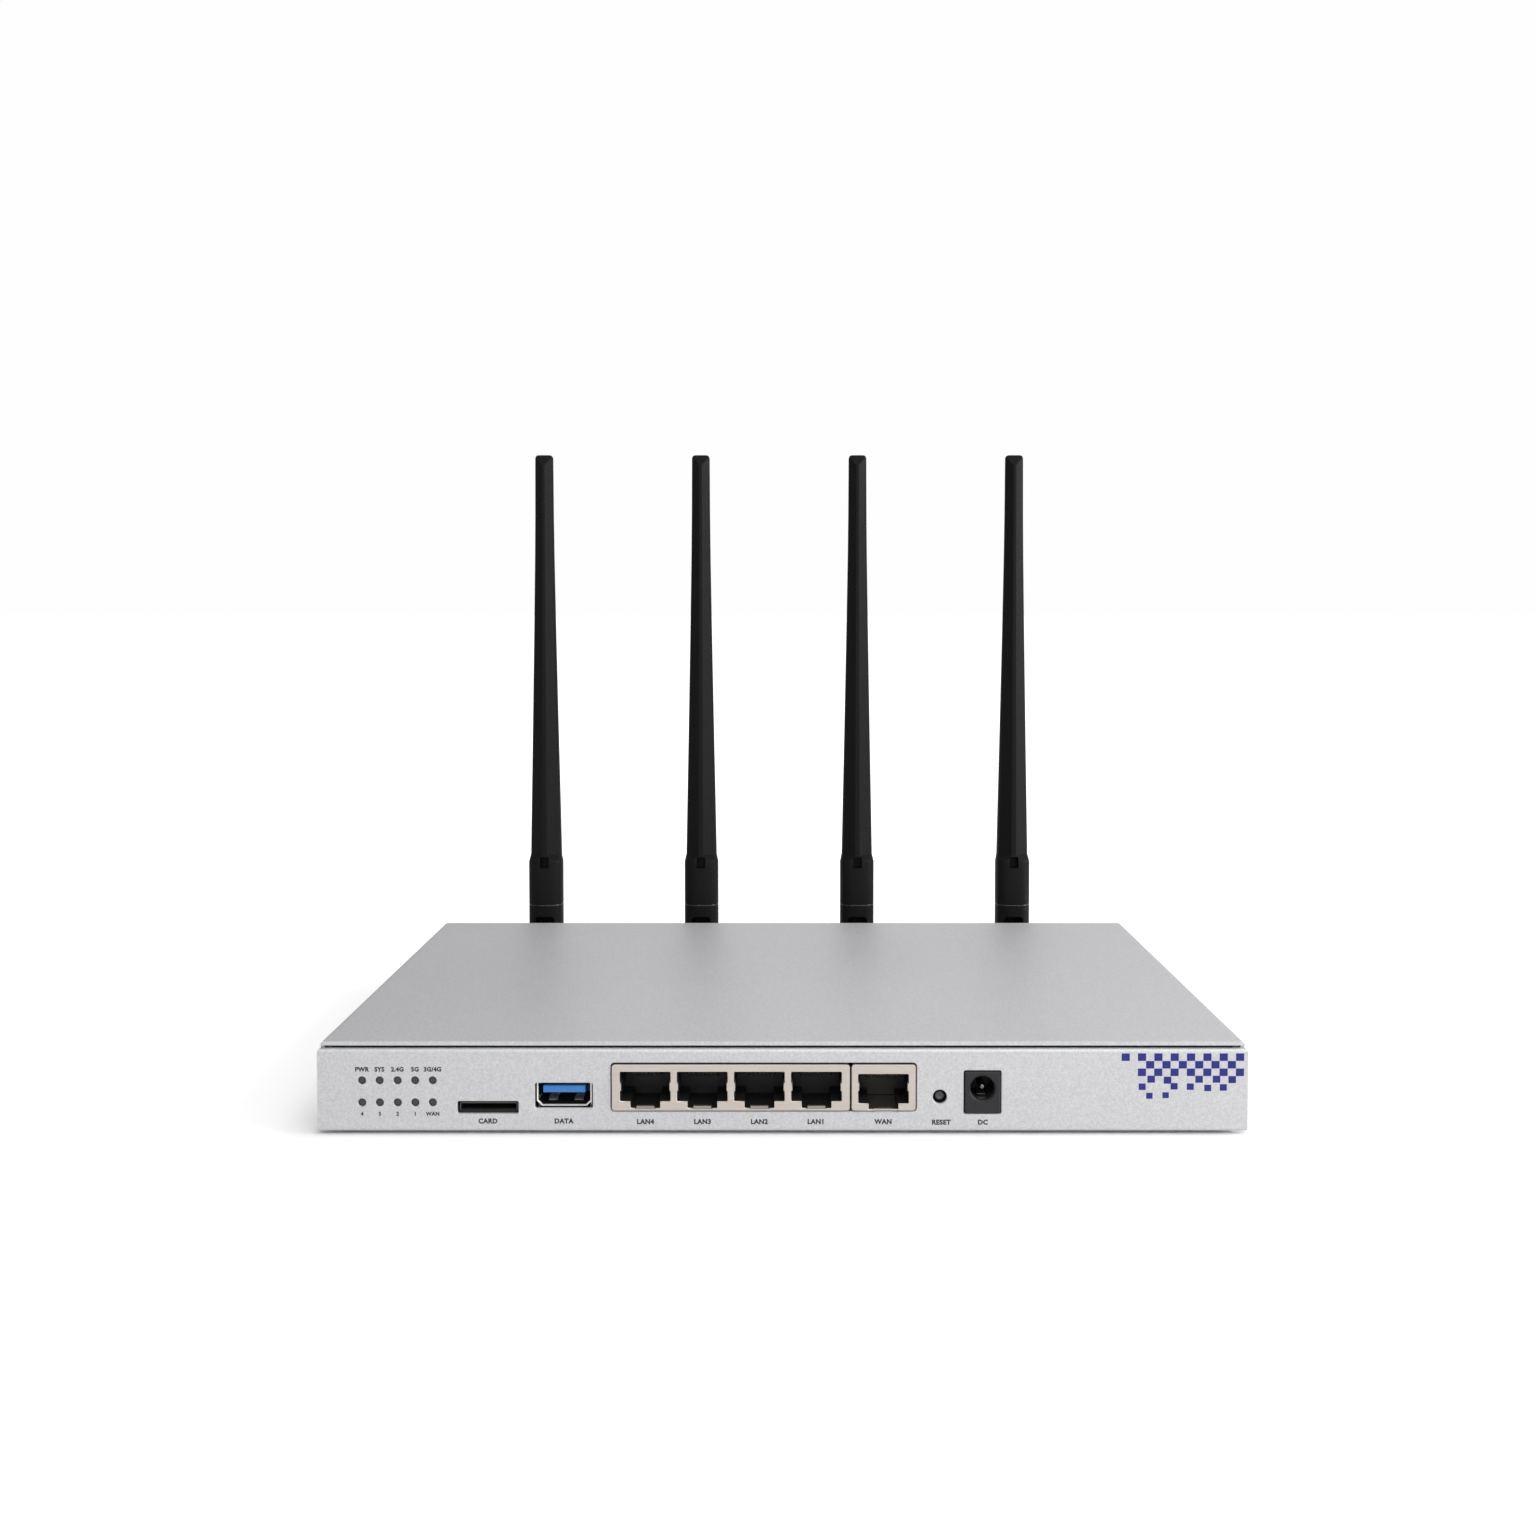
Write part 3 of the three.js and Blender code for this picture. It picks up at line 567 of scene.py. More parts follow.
def buildTray():
    bm = bmesh.new()
    prism(bm, "x", trayOutline(), -trayHalf, trayHalf)
    tray = makeObject("traySheet", bm, ["silverPaint"])
    corners = bmesh.new()
    radii = (0.7, 0.7, 1.0, 1.0)
    skin(corners, [
        roundRing("y", at, -trayHalf, trayHalf, underside, panelTop, radii)
        for at in (frontY - 1, rearY + 1)
    ])
    combine(tray, corners, "INTERSECT")
    flangeX = lidHalf - sheet - 0.3
    trims = bmesh.new()
    for side in (-1, 1):
        edges = sorted((side * flangeX, side * (trayHalf + 2)))
        block(trims, *edges, frontY + sheet, rearY - sheet, underside - 1, panelTop + 1)
    carve(tray, trims)
    flanges = bmesh.new()
    for side in (-1, 1):
        edges = sorted((side * (flangeX - sheet), side * flangeX))
        top = underside + caseDetail["flangeHeight"]
        block(flanges, *edges, frontY + 10, rearY - 10, underside + 0.4, top)
    combine(tray, flanges, "UNION")
    addBevel(tray, caseDetail["edge"], 2, 50)
    applyModifiers(tray)

    holes = bmesh.new()
    for x in lightColumns:
        for z in lightRows:
            holeCutter(holes, roundHole("y", x, underside + z, 1.0, 24), frontY, 1, flare=0.08)
    for left, right, bottom, top, radius in panelCutouts.values():
        ring = slotRing("y", left, right, underside + bottom, underside + top, radius, 5)
        holeCutter(holes, ring, frontY, 1)
    holeCutter(holes, roundHole("y", resetSpot[0], underside + resetSpot[1], resetHole), frontY, 1)
    for number in antennaNumbers:
        x, _, z = centreOf(f"antenna_jack_{number}")
        holeCutter(holes, roundHole("y", x, z, 3.4), rearY, -1)
    carve(tray, holes)

    below = bmesh.new()
    for side in (-1, 1):
        keyX, keyY = side * 60, middleY + 28
        holeCutter(below, roundHole("z", keyX, keyY, 4.0), underside, 1)
        for i in range(caseDetail["bottomVents"]):
            x = side * (22 + i * caseDetail["bottomPitch"])
            ring = slotRing("z", x - 1.1, x + 1.1, middleY - 34, middleY - 8, 1.05)
            holeCutter(below, ring, underside, 1)
        for y in coverScrewYs:
            face = side * flangeX
            holeCutter(below, roundHole("x", y, coverScrewZ, 1.5, 24), face, -side)
    carve(tray, below)
    necks = bmesh.new()
    for side in (-1, 1):
        keyX, keyY = side * 60, middleY + 28
        holeCutter(necks, slotRing("z", keyX - 2, keyX + 2, keyY, keyY + 9, 1.9), underside, 1)
    for number in cornerNumbers:
        x, y = centreOf(f"board_screw_{number}")[:2]
        holeCutter(necks, roundHole("z", x, y, 1.6, 24), underside, 1)
    carve(tray, necks)
    finishPiece(tray, "silver_paint", "base_tray")


# Raised standoffs under the circuit board, each with its threaded bore.
def buildStandoffs():
    bm = bmesh.new()
    boardLow = extent("main_board")[0][2]
    for number in cornerNumbers:
        x, y = centreOf(f"board_screw_{number}")[:2]
        base = underside + sheet
        top = boardLow - 0.05
        profile = [
            (base, 1.6), (top - 0.2, 1.6), (top, 1.8), (top, 3.0),
            (top - 0.2, 3.2), (base + 0.5, 3.2), (base, 3.8),
        ]
        turned(bm, "z", x, y, profile, 28, closed=True)
    standoffs = makeObject("boardStandoffs", bm, ["silverPaint"])
    finishPiece(standoffs, "silver_paint")


buildLid()
buildTray()
buildGapShadeStrips()
buildStandoffs()


print("printing the panel")

legendDetail = {
    "capShare": 0.70, "spacing": 1.08, "bold": 0.07, "proud": 0.012,
    "portHeight": 1.15, "lightHeight": 1.05, "lowHeight": 0.9, "upperRow": 15.35, "lowerRow": 4.35,
}
upperLabels = list(zip(lightColumns, ["PWR", "SYS", "2.4G", "5G", "3G/4G"]))
lowerLabels = list(zip(lightColumns, ["4", "3", "2", "1", "WAN"]))
portLabels = [
    (-72.2, 2.55, "CARD"), (-53.6, 2.55, "DATA"), (-33.6, 2.4, "LAN4"), (-19.6, 2.4, "LAN3"),
    (-5.7, 2.4, "LAN2"), (8.2, 2.4, "LAN1"), (24.7, 2.4, "WAN"), (38.9, 2.25, "RESET"), (49.1, 2.25, "DC"),
]


def printWord(bm, word, x, z, height):
    curve = bpy.data.curves.new("word", "FONT")
    curve.body = word
    curve.size = height / legendDetail["capShare"] * mm
    curve.align_x = curve.align_y = "CENTER"
    curve.space_character = legendDetail["spacing"]
    curve.resolution_u = 3
    curve.offset = legendDetail["bold"] * height * mm
    curve.extrude = legendDetail["proud"] * mm
    word3d = bpy.data.objects.new("word", curve)
    scene.collection.objects.link(word3d)
    word3d.location = Vector((x, frontY - legendDetail["proud"] / 2, underside + z)) * mm
    word3d.rotation_euler = (math.radians(90), 0, 0)
    bpy.context.view_layer.update()
    depsgraph = bpy.context.evaluated_depsgraph_get()
    mesh = bpy.data.meshes.new_from_object(word3d.evaluated_get(depsgraph))
    mesh.transform(word3d.matrix_world)
    bm.from_mesh(mesh)
    bpy.data.meshes.remove(mesh)
    bpy.data.objects.remove(word3d)
    bpy.data.curves.remove(curve)


def buildLegends():
    bm = bmesh.new()
    for x, word in upperLabels:
        printWord(bm, word, x, legendDetail["upperRow"], legendDetail["lightHeight"])
    for x, word in lowerLabels:
        printWord(bm, word, x, legendDetail["lowerRow"], legendDetail["lowHeight"])
    for x, z, word in portLabels:
        printWord(bm, word, x, z, legendDetail["portHeight"])
    legends = makeObject("panelLegends", bm, ["legendInk"])
    finishPiece(legends, "silver_paint", angle=0)


# A plain chequered corner: three full rows that break up to the left, then smaller scattered squares below.
patternDetail = {
    "cell": (2.0, 1.87), "right": 113.0, "top": 19.35, "columns": 15, "rows": 6, "seed": 8, "proud": 0.012,
    "fullColumns": (15, 12, 11), "looseColumns": 13, "fade": (0, 0.3, 0.5, 0.85, 0.5, 0.3),
    "shrink": 0.07, "drift": 0.3,
}


def buildPattern():
    chance = random.Random(patternDetail["seed"])
    cellX, cellZ = patternDetail["cell"]
    bm = bmesh.new()
    for row in range(patternDetail["rows"]):
        for column in range(patternDetail["columns"]):
            draw, slideX, slideZ = chance.random(), chance.uniform(-1, 1), chance.uniform(-1, 1)
            if (row + column) % 2:
                continue
            full = patternDetail["fullColumns"][row] if row < 3 else 0
            fade = patternDetail["fade"][row] * (column < patternDetail["looseColumns"])
            if column >= full and draw > fade:
                continue
            loose = max(0, row - 2)
            size = 1 - patternDetail["shrink"] * loose
            drift = patternDetail["drift"] * min(1, loose)
            x = patternDetail["right"] - (column + 0.5) * cellX + drift * slideX
            z = underside + patternDetail["top"] - (row + 0.5) * cellZ + drift * slideZ
            x = min(x, patternDetail["right"] - cellX / 2)
            half, tall = cellX * size / 2, cellZ * size / 2
            block(bm, x - half, x + half, frontY - patternDetail["proud"], frontY + 0.02, z - tall, z + tall)
    pattern = makeObject("panelPattern", bm, ["patternInk"])
    finishPiece(pattern, "silver_paint", angle=0)


buildLegends()
buildPattern()


print("building the sockets")

jackDetail = {
    "wall": 0.35, "mouthHalf": 6.2, "mouthHeight": 7.25, "notchHalf": 3.65, "notchHeight": 1.7,
    "mouthDepth": 11.5, "wireSize": 0.36, "wirePitch": 1.02, "clipHalf": 2.3, "slit": 0.12, "noseLow": 5.3,
    "bump": 0.26, "bumpSpan": (10.1, 12.2), "bumpRows": ((0.5, 0.12), (1.6, 0.24), (5, 0.05)), "leadIn": 0.15,
    "leaf": ((0.12, -0.22), (0.75, 0.35), (1.8, 0.45)),
    "wireRoute": ((1.8, -0.15), (2.6, -0.75), (6.5, -2.3), (10.2, -3.9)),
}
lanCentres = [-12.65 + (i - 1.5) * 13.97 for i in range(4)]
wanCentres = [24.7]
lanShoulder, wanShoulder = 7.65, 7.1


def mouthRing(centre, shoulder):
    half, notch, bump = jackDetail["mouthHalf"], jackDetail["notchHalf"], jackDetail["bump"]
    base = underside + shoulder
    top = base + jackDetail["mouthHeight"]
    bottom = base - jackDetail["notchHeight"]
    bumpLow, bumpHigh = (underside + value for value in jackDetail["bumpSpan"])

    def ringAt(at, grow):
        h, n, r = half + grow, notch + grow, 0.2
        b, s, t = bottom - grow, base - grow, top + grow
        right = [
            (n - r, b), (n, b + r), (n, s), (h - r, s), (h, s + r), (h, bumpLow), (h - bump, bumpLow + 0.2),
            (h - bump, bumpHigh - 0.2), (h, bumpHigh), (h, t - r), (h - r, t)]
        outline = right + [(-u, v) for u, v in reversed(right)]
        return [(centre + u, at, v) for u, v in outline]
    return ringAt


def buildJackShield(name, node, centres, shoulder):
    low, high = extent(node)
    wall = jackDetail["wall"]
    noseLow = underside + jackDetail["noseLow"]
    bumpLow, bumpHigh = (underside + value for value in jackDetail["bumpSpan"])
    bm = bmesh.new()
    skin(bm, [
        roundRing("y", at, low[0] + inset, high[0] - inset, noseLow + inset, high[2] - inset, radius)
        for at, inset, radius in (
            (low[1] + wall, 0, 0.75), (low[1] + 0.14, 0, 0.75), (low[1] + 0.04, 0.04, 0.71), (low[1], 0.14, 0.61))
    ])
    plate = makeObject(name, bm, ["nickel"])
    mouths = bmesh.new()
    for centre in centres:
        holeCutter(mouths, mouthRing(centre, shoulder), low[1], 1, depth=1.5, flare=0.06)
    carve(plate, mouths)
    slits = bmesh.new()
    for centre in centres:
        top = underside + shoulder - jackDetail["notchHeight"] + 0.3
        inner, outer = jackDetail["clipHalf"] - jackDetail["slit"], jackDetail["clipHalf"] + jackDetail["slit"]
        foot = noseLow + jackDetail["slit"]
        outline = [
            (-outer, foot), (-inner, foot), (-inner, top - 0.5), (inner, top - 0.5),
            (inner, foot), (outer, foot), (outer, top), (-outer, top),
        ]
        prism(slits, "y", [(centre + u, v) for u, v in outline], low[1] - 1, low[1] + 1)
    carve(plate, slits)
    wrap = reopen(plate)
    skin(wrap, [
        roundRing("y", at, low[0] + inset, high[0] - inset, noseLow + inset, high[2] - inset, 0.75 - inset / 2)
        for at, inset in ((low[1] + wall, 0), (high[1], 0), (high[1], wall), (low[1] + wall, wall))
    ], closed=True)
    block(wrap, low[0], high[0], high[1] - wall, high[1], low[2], high[2])
    for side in (low[0], high[0] - wall):
        block(wrap, side, side + wall, frontY + 2, high[1], low[2], noseLow + 1)
    for centre in centres:
        base = underside + shoulder
        notchFloor = base - jackDetail["notchHeight"]
        clip = jackDetail["clipHalf"] - jackDetail["slit"]
        skin(wrap, [
            [(centre - clip, low[1] + y, notchFloor + z), (centre + clip, low[1] + y, notchFloor + z),
             (centre + clip, low[1] + y + 0.1, notchFloor + z - 0.16),
             (centre - clip, low[1] + y + 0.1, notchFloor + z - 0.16)]
            for y, z in jackDetail["leaf"]
        ])
        for side in (-1, 1):
            wallX = centre + side * jackDetail["mouthHalf"]
            skin(wrap, [
                [(wallX - side * u, low[1] + y, v) for u, v in (
                    (push, bumpLow), (push + 0.15, bumpLow), (push + 0.15, bumpHigh), (push, bumpHigh))]
                for y, push in jackDetail["bumpRows"]
            ])
    store(plate, wrap)
    finishPiece(plate, "nickel_shield", node)


def buildJackInsert(name, node, centres, shoulder):
    low = extent(node)[0]
    insert = makeObject(name, boxOf(node), ["socketBlack", "goldPlate"])
    mouths = bmesh.new()
    for centre in centres:
        ring = mouthRing(centre, shoulder)
        inset = -jackDetail["leadIn"]
        skin(mouths, [
            ring(low[1] - 0.5, 0.25), ring(low[1] + 0.5, inset), ring(low[1] + jackDetail["mouthDepth"], inset)])
    carve(insert, mouths)
    wires = reopen(insert)
    half = jackDetail["wireSize"] / 2
    for centre in centres:
        top = underside + shoulder + jackDetail["mouthHeight"]
        for i in range(8):
            x = centre + (i - 3.5) * jackDetail["wirePitch"]
            route = [(low[1] + y, top + z - half) for y, z in jackDetail["wireRoute"]]
            strip(wires, x - half, x + half, route, 2 * half, slot=1)
        for i in range(7):
            x = centre + (i - 3) * jackDetail["wirePitch"]
            block(wires, x - 0.2, x + 0.2, low[1] + 1.5, low[1] + 3.0, top - 1.0, top + 0.1)
    store(insert, wires)
    finishPiece(insert, "dark_plastic", node, weighted=False)


usbDetail = {
    "wall": 0.42, "bottom": 6.05, "slope": 1.25, "corner": 0.8, "tabOut": 6.4,
    "springOut": 3.2, "springHalf": 1.1, "springRise": 0.45, "springThick": 0.2,
    "tongueHalf": 5.2, "tongueLength": 10.3, "tongueSpan": (9.3, 11.1), "padXs": (-3.5, -1.0, 1.0, 3.5),
}


def buildUsb():
    low, high = extent("usb_socket_shell")
    wall = usbDetail["wall"]
    shellLow = underside + usbDetail["bottom"]

    def ring(at, inset):
        u0, u1 = low[0] + inset, high[0] - inset
        v0, v1 = shellLow + inset, high[2] - inset
        slope = usbDetail["slope"] - inset * 0.5
        upper = usbDetail["corner"] - inset * 0.5
        outline = [(u0, v0 + slope), (u0 + slope, v0), (u1 - slope, v0), (u1, v0 + slope)]
        outline += arcPoints(u1 - upper, v1 - upper, upper, 0, 90, 5)
        outline += arcPoints(u0 + upper, v1 - upper, upper, 90, 180, 5)
        return [(u, at, v) for u, v in outline]
    bm = bmesh.new()
    skin(bm, [
        ring(low[1] + 0.06, 0), ring(high[1], 0), ring(high[1], wall), ring(low[1] + 0.3, wall),
        ring(low[1] + 0.1, wall - 0.06), ring(low[1], wall - 0.16), ring(low[1], 0.08),
    ], closed=True)
    # Painted shade: the shell's inner skin uses the dark shadowTin finish so that its inside reads as shaded.
    shadeSkinAt = low[1] + 0.4  # a dark inner skin, set back from the mouth
    near, far = wall - 0.02, wall + 0.08
    skin(bm, [ring(shadeSkinAt, near), ring(high[1], near), ring(high[1], far), ring(shadeSkinAt, far)], closed=True, slot=1)
    centre = (low[0] + high[0]) / 2
    for side in (-1, 1):
        x = centre + side * usbDetail["tabOut"]
        block(bm, x - 0.2, x + 0.2, frontY + 3, frontY + 5.5, low[2], underside + 8)
        springX = centre + side * usbDetail["springOut"]
        for floor, up in ((shellLow + wall, 1), (high[2] - wall, -1)):
            peak = floor + up * usbDetail["springRise"]
            route = ((frontY + 4.5, floor), (frontY + 6.5, peak), (frontY + 10, floor))
            strip(bm, springX - usbDetail["springHalf"], springX + usbDetail["springHalf"], route,
                  up * usbDetail["springThick"])
    # The shell's outer skin takes the painted-highlight nickel, and its inner skin takes the painted-shade tin.
    shell = makeObject("usbShell", bm, ["highlightNickel", "shadowTin"])
    finishPiece(shell, "nickel_shield", "usb_socket_shell")

    low, high = extent("usb_socket_tongue")
    half, length = usbDetail["tongueHalf"], usbDetail["tongueLength"]
    bottom, top = (underside + value for value in usbDetail["tongueSpan"])
    tongue = bmesh.new()
    block(tongue, centre - half, centre + half, low[1], low[1] + length, bottom, top)
    block(tongue, low[0], high[0], high[1] - 2.6, high[1], low[2], high[2])
    tongueObject = makeObject("usbTongue", tongue, ["tongueBlue", "goldPlate"], soften=0.22, segments=3)
    applyModifiers(tongueObject)
    pads = reopen(tongueObject)
    for padX in usbDetail["padXs"]:
        x = centre + padX
        block(pads, x - 0.5, x + 0.5, low[1] + 1.4, low[1] + 9, bottom - 0.1, bottom + 0.04, slot=1)
    store(tongueObject, pads)
    finishPiece(tongueObject, "blue_plastic", "usb_socket_tongue")


cardDetail = {
    "wall": 0.25, "springs": 3, "springFrom": 4, "springPitch": 3.1, "springWidth": 1.4,
    "contacts": 8, "contactFrom": 2.4, "contactPitch": 1.1, "contactWidth": 0.6, "floor": 5.2,
}


def buildCardSocket():
    low, high = extent("card_socket_shell")
    wall = cardDetail["wall"]
    roof = high[2] - wall
    bm = bmesh.new()
    block(bm, low[0], high[0], low[1], high[1], roof, high[2])
    for x in (low[0], high[0] - wall):
        block(bm, x, x + wall, low[1], high[1], low[2], high[2])
    skin(bm, [
        [(x, low[1], roof + 0.1), (x, low[1] + 0.7, roof - 0.1),
         (x, low[1] + 0.7, high[2] - 0.1), (x, low[1], high[2] + 0.1)]
        for x in (low[0] + 1, high[0] - 1)
    ])
    for i in range(cardDetail["springs"]):
        x = low[0] + cardDetail["springFrom"] + i * cardDetail["springPitch"]
        block(bm, x, x + cardDetail["springWidth"], low[1] + 3, low[1] + 8, roof - 0.25, roof)
    # The cover's darkened tin is painted shade.
    shell = makeObject("cardSocketCover", bm, ["shadedDullTin"], soften=0.06, segments=2)
    finishPiece(shell, "nickel_shield", "card_socket_shell")

    low, high = extent("card_socket_tray")
    tray = bmesh.new()
    block(tray, low[0], high[0], low[1], high[1], low[2], underside + cardDetail["floor"])
    block(tray, low[0] - 0.5, high[0] + 0.5, frontY + 1.2, frontY + 1.7, underside + 3.6, underside + 5.05)
    block(tray, low[0], high[0], high[1] - 1.5, high[1], underside + 5.0, high[2])
    for i in range(cardDetail["contacts"]):
        x = low[0] + cardDetail["contactFrom"] + i * cardDetail["contactPitch"]
        ends = x, x + cardDetail["contactWidth"]
        block(tray, *ends, low[1] + 5, low[1] + 11, underside + 5.1, underside + 5.45, slot=1)
    trayObject = makeObject("cardSocketTray", tray, ["socketBlack", "goldPlate"], soften=0.08)
    finishPiece(trayObject, "dark_plastic", "card_socket_tray")


powerDetail = {"bore": 3.0, "boreDepth": 9.5, "flare": 4.35, "contactHalf": 1.0, "contactThick": 0.25}


def buildPowerJack():
    low = extent("dc_jack_body")[0]
    pinLow, pinHigh = extent("dc_jack_pin")
    x, _, z = centreOf("dc_jack_pin")
    radius = powerDetail["bore"]
    body = makeObject("powerJackBody", boxOf("dc_jack_body"), ["powerBlack", "shadedDullTin"], soften=0.35, segments=3)
    applyModifiers(body)
    drill(body, "y", x, z, [
        (low[1] - 1, powerDetail["flare"]), (low[1] + 0.35, radius),
        (low[1] + powerDetail["boreDepth"], radius)], 48)
    contact = reopen(body)
    half, thick = powerDetail["contactHalf"], powerDetail["contactThick"]
    for y0, y1, lift in ((1.6, 3.4, 0.0), (3.4, 8.6, 0.55)):
        floor = z - radius + lift
        block(contact, x - half, x + half, low[1] + y0, low[1] + y1, floor, floor + thick, slot=1)
    store(body, contact)
    finishPiece(body, "dark_plastic", "dc_jack_body")

    pin = bmesh.new()
    start = pinLow[1]
    turned(pin, "y", x, z, [
        (start, 0.08), (start + 0.05, 0.3), (start + 0.17, 0.52), (start + 0.35, 0.68), (start + 0.6, 0.8),
        (start + 0.95, 0.86), (pinHigh[1], 0.86)], 32)
    # The pin's darkened nickel is painted shade from its deep barrel.
    pinObject = makeObject("powerJackPin", pin, ["shadedPin"])
    finishPiece(pinObject, "nickel_shield", "dc_jack_pin", angle=50, weighted=False)


resetDetail = {"bore": 1.4, "boreDepth": 2.8, "coverOut": 2.9, "coverHalf": 0.15}


def buildReset():
    low, high = extent("reset_switch_body")
    plungerLow, plungerHigh = extent("reset_plunger")
    x, _, z = centreOf("reset_plunger")
    body = makeObject("resetSwitchBody", boxOf("reset_switch_body"), ["socketBlack", "nickel"], soften=0.3)
    applyModifiers(body)
    drill(body, "y", x, z, [
        (at, resetDetail["bore"]) for at in (low[1] - 1, low[1] + resetDetail["boreDepth"])], 32)
    cover = reopen(body)
    for side in (-1, 1):
        at, half = x + side * resetDetail["coverOut"], resetDetail["coverHalf"]
        block(cover, at - half, at + half, low[1] + 0.6, high[1] - 0.6, low[2], high[2] - 1, slot=1)
    store(body, cover)
    finishPiece(body, "dark_plastic", "reset_switch_body")

    plunger = bmesh.new()
    start, radius = plungerLow[1], (plungerHigh[0] - plungerLow[0]) / 2
    turned(plunger, "y", x, z, [
        (start + 0.25, 0.2), (start + 0.22, 0.45), (start + 0.02, radius - 0.35), (start, radius - 0.2),
        (start + 0.06, radius - 0.06), (start + 0.25, radius), (plungerHigh[1], radius)], 32)
    plungerObject = makeObject("resetPlunger", plunger, ["plungerGrey"])
    finishPiece(
        plungerObject, "black_plastic", "reset_plunger", body="reset_button", angle=50, weighted=False)


def buildLightPipes():
    low, high = extent("status_light_pipes")
    start = low[1]
    bm = bmesh.new()
    block(bm, low[0], high[0], frontY + 2.2, high[1], low[2], high[2])
    carrier = makeObject("lightPipes", bm, ["smokedLens"], soften=0.3)
    applyModifiers(carrier)
    pipes = reopen(carrier)
    profile = [(start, 0.4), (start + 0.02, 0.7), (start + 0.08, 0.88), (start + 0.2, 0.96), (frontY + 3, 0.96)]
    for x in lightColumns:
        for z in lightRows:
            turned(pipes, "y", x, underside + z, profile, 24)
    store(carrier, pipes)
    finishPiece(carrier, "smoked_clear", "status_light_pipes", angle=40)


for kind, centres, shoulder in (("lan", lanCentres, lanShoulder), ("wan", wanCentres, wanShoulder)):
    buildJackShield(f"{kind}JackShield", f"{kind}_jack_shield", centres, shoulder)
    buildJackInsert(f"{kind}JackInsert", f"{kind}_jack_insert", centres, shoulder)
buildUsb()
buildCardSocket()
buildPowerJack()
buildReset()
buildLightPipes()


print("adding screws and feet")


screwDetail = {
    "headDepth": {"x": 0.55, "z": 1.75}, "thread": 1.25, "core": 1.0, "pitch": 0.5,
    "recessArm": 0.62, "recessHalf": 0.13, "recessShare": 0.85,
}


def buildScrew(name, node, axis, outward):
    low, high = extent(node)
    centre = centreOf(node)
    index = "xyz".index(axis)
    across = [i for i in range(3) if i != index]
    a, b = (centre[i] for i in across)
    radius = (high[across[0]] - low[across[0]]) / 2
    face, tail = (high[index], low[index]) if outward > 0 else (low[index], high[index])
    depth = screwDetail["headDepth"][axis]
    thread, core = screwDetail["thread"], screwDetail["core"]
    seat = face - outward * depth
    profile = [(face - outward * depth * share, radius * k) for share, k in (
        (0, 0.5), (0.08, 0.78), (0.35, 0.96), (0.7, 1), (1, 1))] + [(seat, thread)]
    length = abs(seat - tail)
    turns = int(length / screwDetail["pitch"])
    for i in range(turns):
        at = seat - outward * (i + 0.5) * length / (turns + 0.5)
        profile += [(at + outward * 0.12, core), (at, thread), (at - outward * 0.12, thread)]
    profile += [(tail + outward * 0.3, core), (tail, 0.7)]
    bm = bmesh.new()
    turned(bm, axis, a, b, profile, 32)
    screw = makeObject(name, bm, ["screwSteel"])
    recess = bmesh.new()
    arm, half = radius * screwDetail["recessArm"], radius * screwDetail["recessHalf"]
    corners = [(arm, half), (half, half), (half, arm)]
    cross = []
    for _ in range(4):
        cross += corners
        corners = [(-v, u) for u, v in corners]
    bottom = face - outward * depth * screwDetail["recessShare"]
    skin(recess, [
        [place(axis, level, a + u * k, b + v * k) for u, v in cross]
        for level, k in ((face + outward * 0.3, 1.05), (bottom, 0.55))
    ])
    carve(screw, recess)
    finishPiece(screw, "screw_steel", node, angle=40, weighted=False)


def buildFoot(number):
    low, high = extent(f"rubber_foot_{number}")
    x, y = centreOf(f"rubber_foot_{number}")[:2]
    radius = (high[0] - low[0]) / 2
    bm = bmesh.new()
    profile = [(low[2] + up, radius - inset) for up, inset in (
        (0.22, 2.2), (0.05, 1.7), (0, 1.3), (0, 0.6), (0.08, 0.3), (0.3, 0.05), (0.5, 0))]
    turned(bm, "z", x, y, [(low[2] + 0.25, 0.4), *profile, (high[2], radius)], 48)
    foot = makeObject(f"rubberFoot{number}", bm, ["footRubber"])
    finishPiece(foot, "black_rubber", f"rubber_foot_{number}", angle=50)


for number in cornerNumbers:
    buildScrew(f"coverScrew{number}", f"cover_screw_{number}", "x", -1 if number < 3 else 1)
    buildScrew(f"boardScrew{number}", f"board_screw_{number}", "z", 1)
for number in cornerNumbers:
    buildFoot(number)


print("building the antennas")

bladeDetail = {
    "flatShare": 0.075, "depthShare": 0.8, "edge": 0.22, "sleevePower": 2.8,
    "seam": 2.65, "sleeveTop": 17.4, "sleeveWidth": 11.7, "sleeveDepth": 10.2,
    "slotWidth": 6.6, "tongueWidth": 6.0, "tongueRadius": 4.6, "barrelRadius": 5.4, "tipWidth": 6.05,
    "tipRounding": ((1.2, 0.0), (0.7, 0.1), (0.3, 0.35), (0.08, 0.7), (0.0, 1.1)),
    "taper": [(20.0, 10.4), (40, 9.65), (57, 8.97), (74, 8.3), (92, 7.6), (109, 7.0), (123, 6.55), (137, 6.25)],
}


def sleeveRing(x, y, z, inset=0.0):
    spread = 2 / bladeDetail["sleevePower"]
    half, deep = bladeDetail["sleeveWidth"] / 2 - inset, bladeDetail["sleeveDepth"] / 2 - inset
    ring = []
    angles = [255, 285, 322, 348, 27, 52, 73, 107, 128, 153, 192, 218]
    for i, start in enumerate(angles):
        end = angles[(i + 1) % len(angles)]
        gap = (end - start) % 360
        for k in range(3):
            angle = math.radians(start + gap * k / 3)
            c, s = math.cos(angle), math.sin(angle)
            ring.append((
                x + half * math.copysign(abs(c) ** spread, c),
                y + deep * math.copysign(abs(s) ** spread, s), z))
    return ring


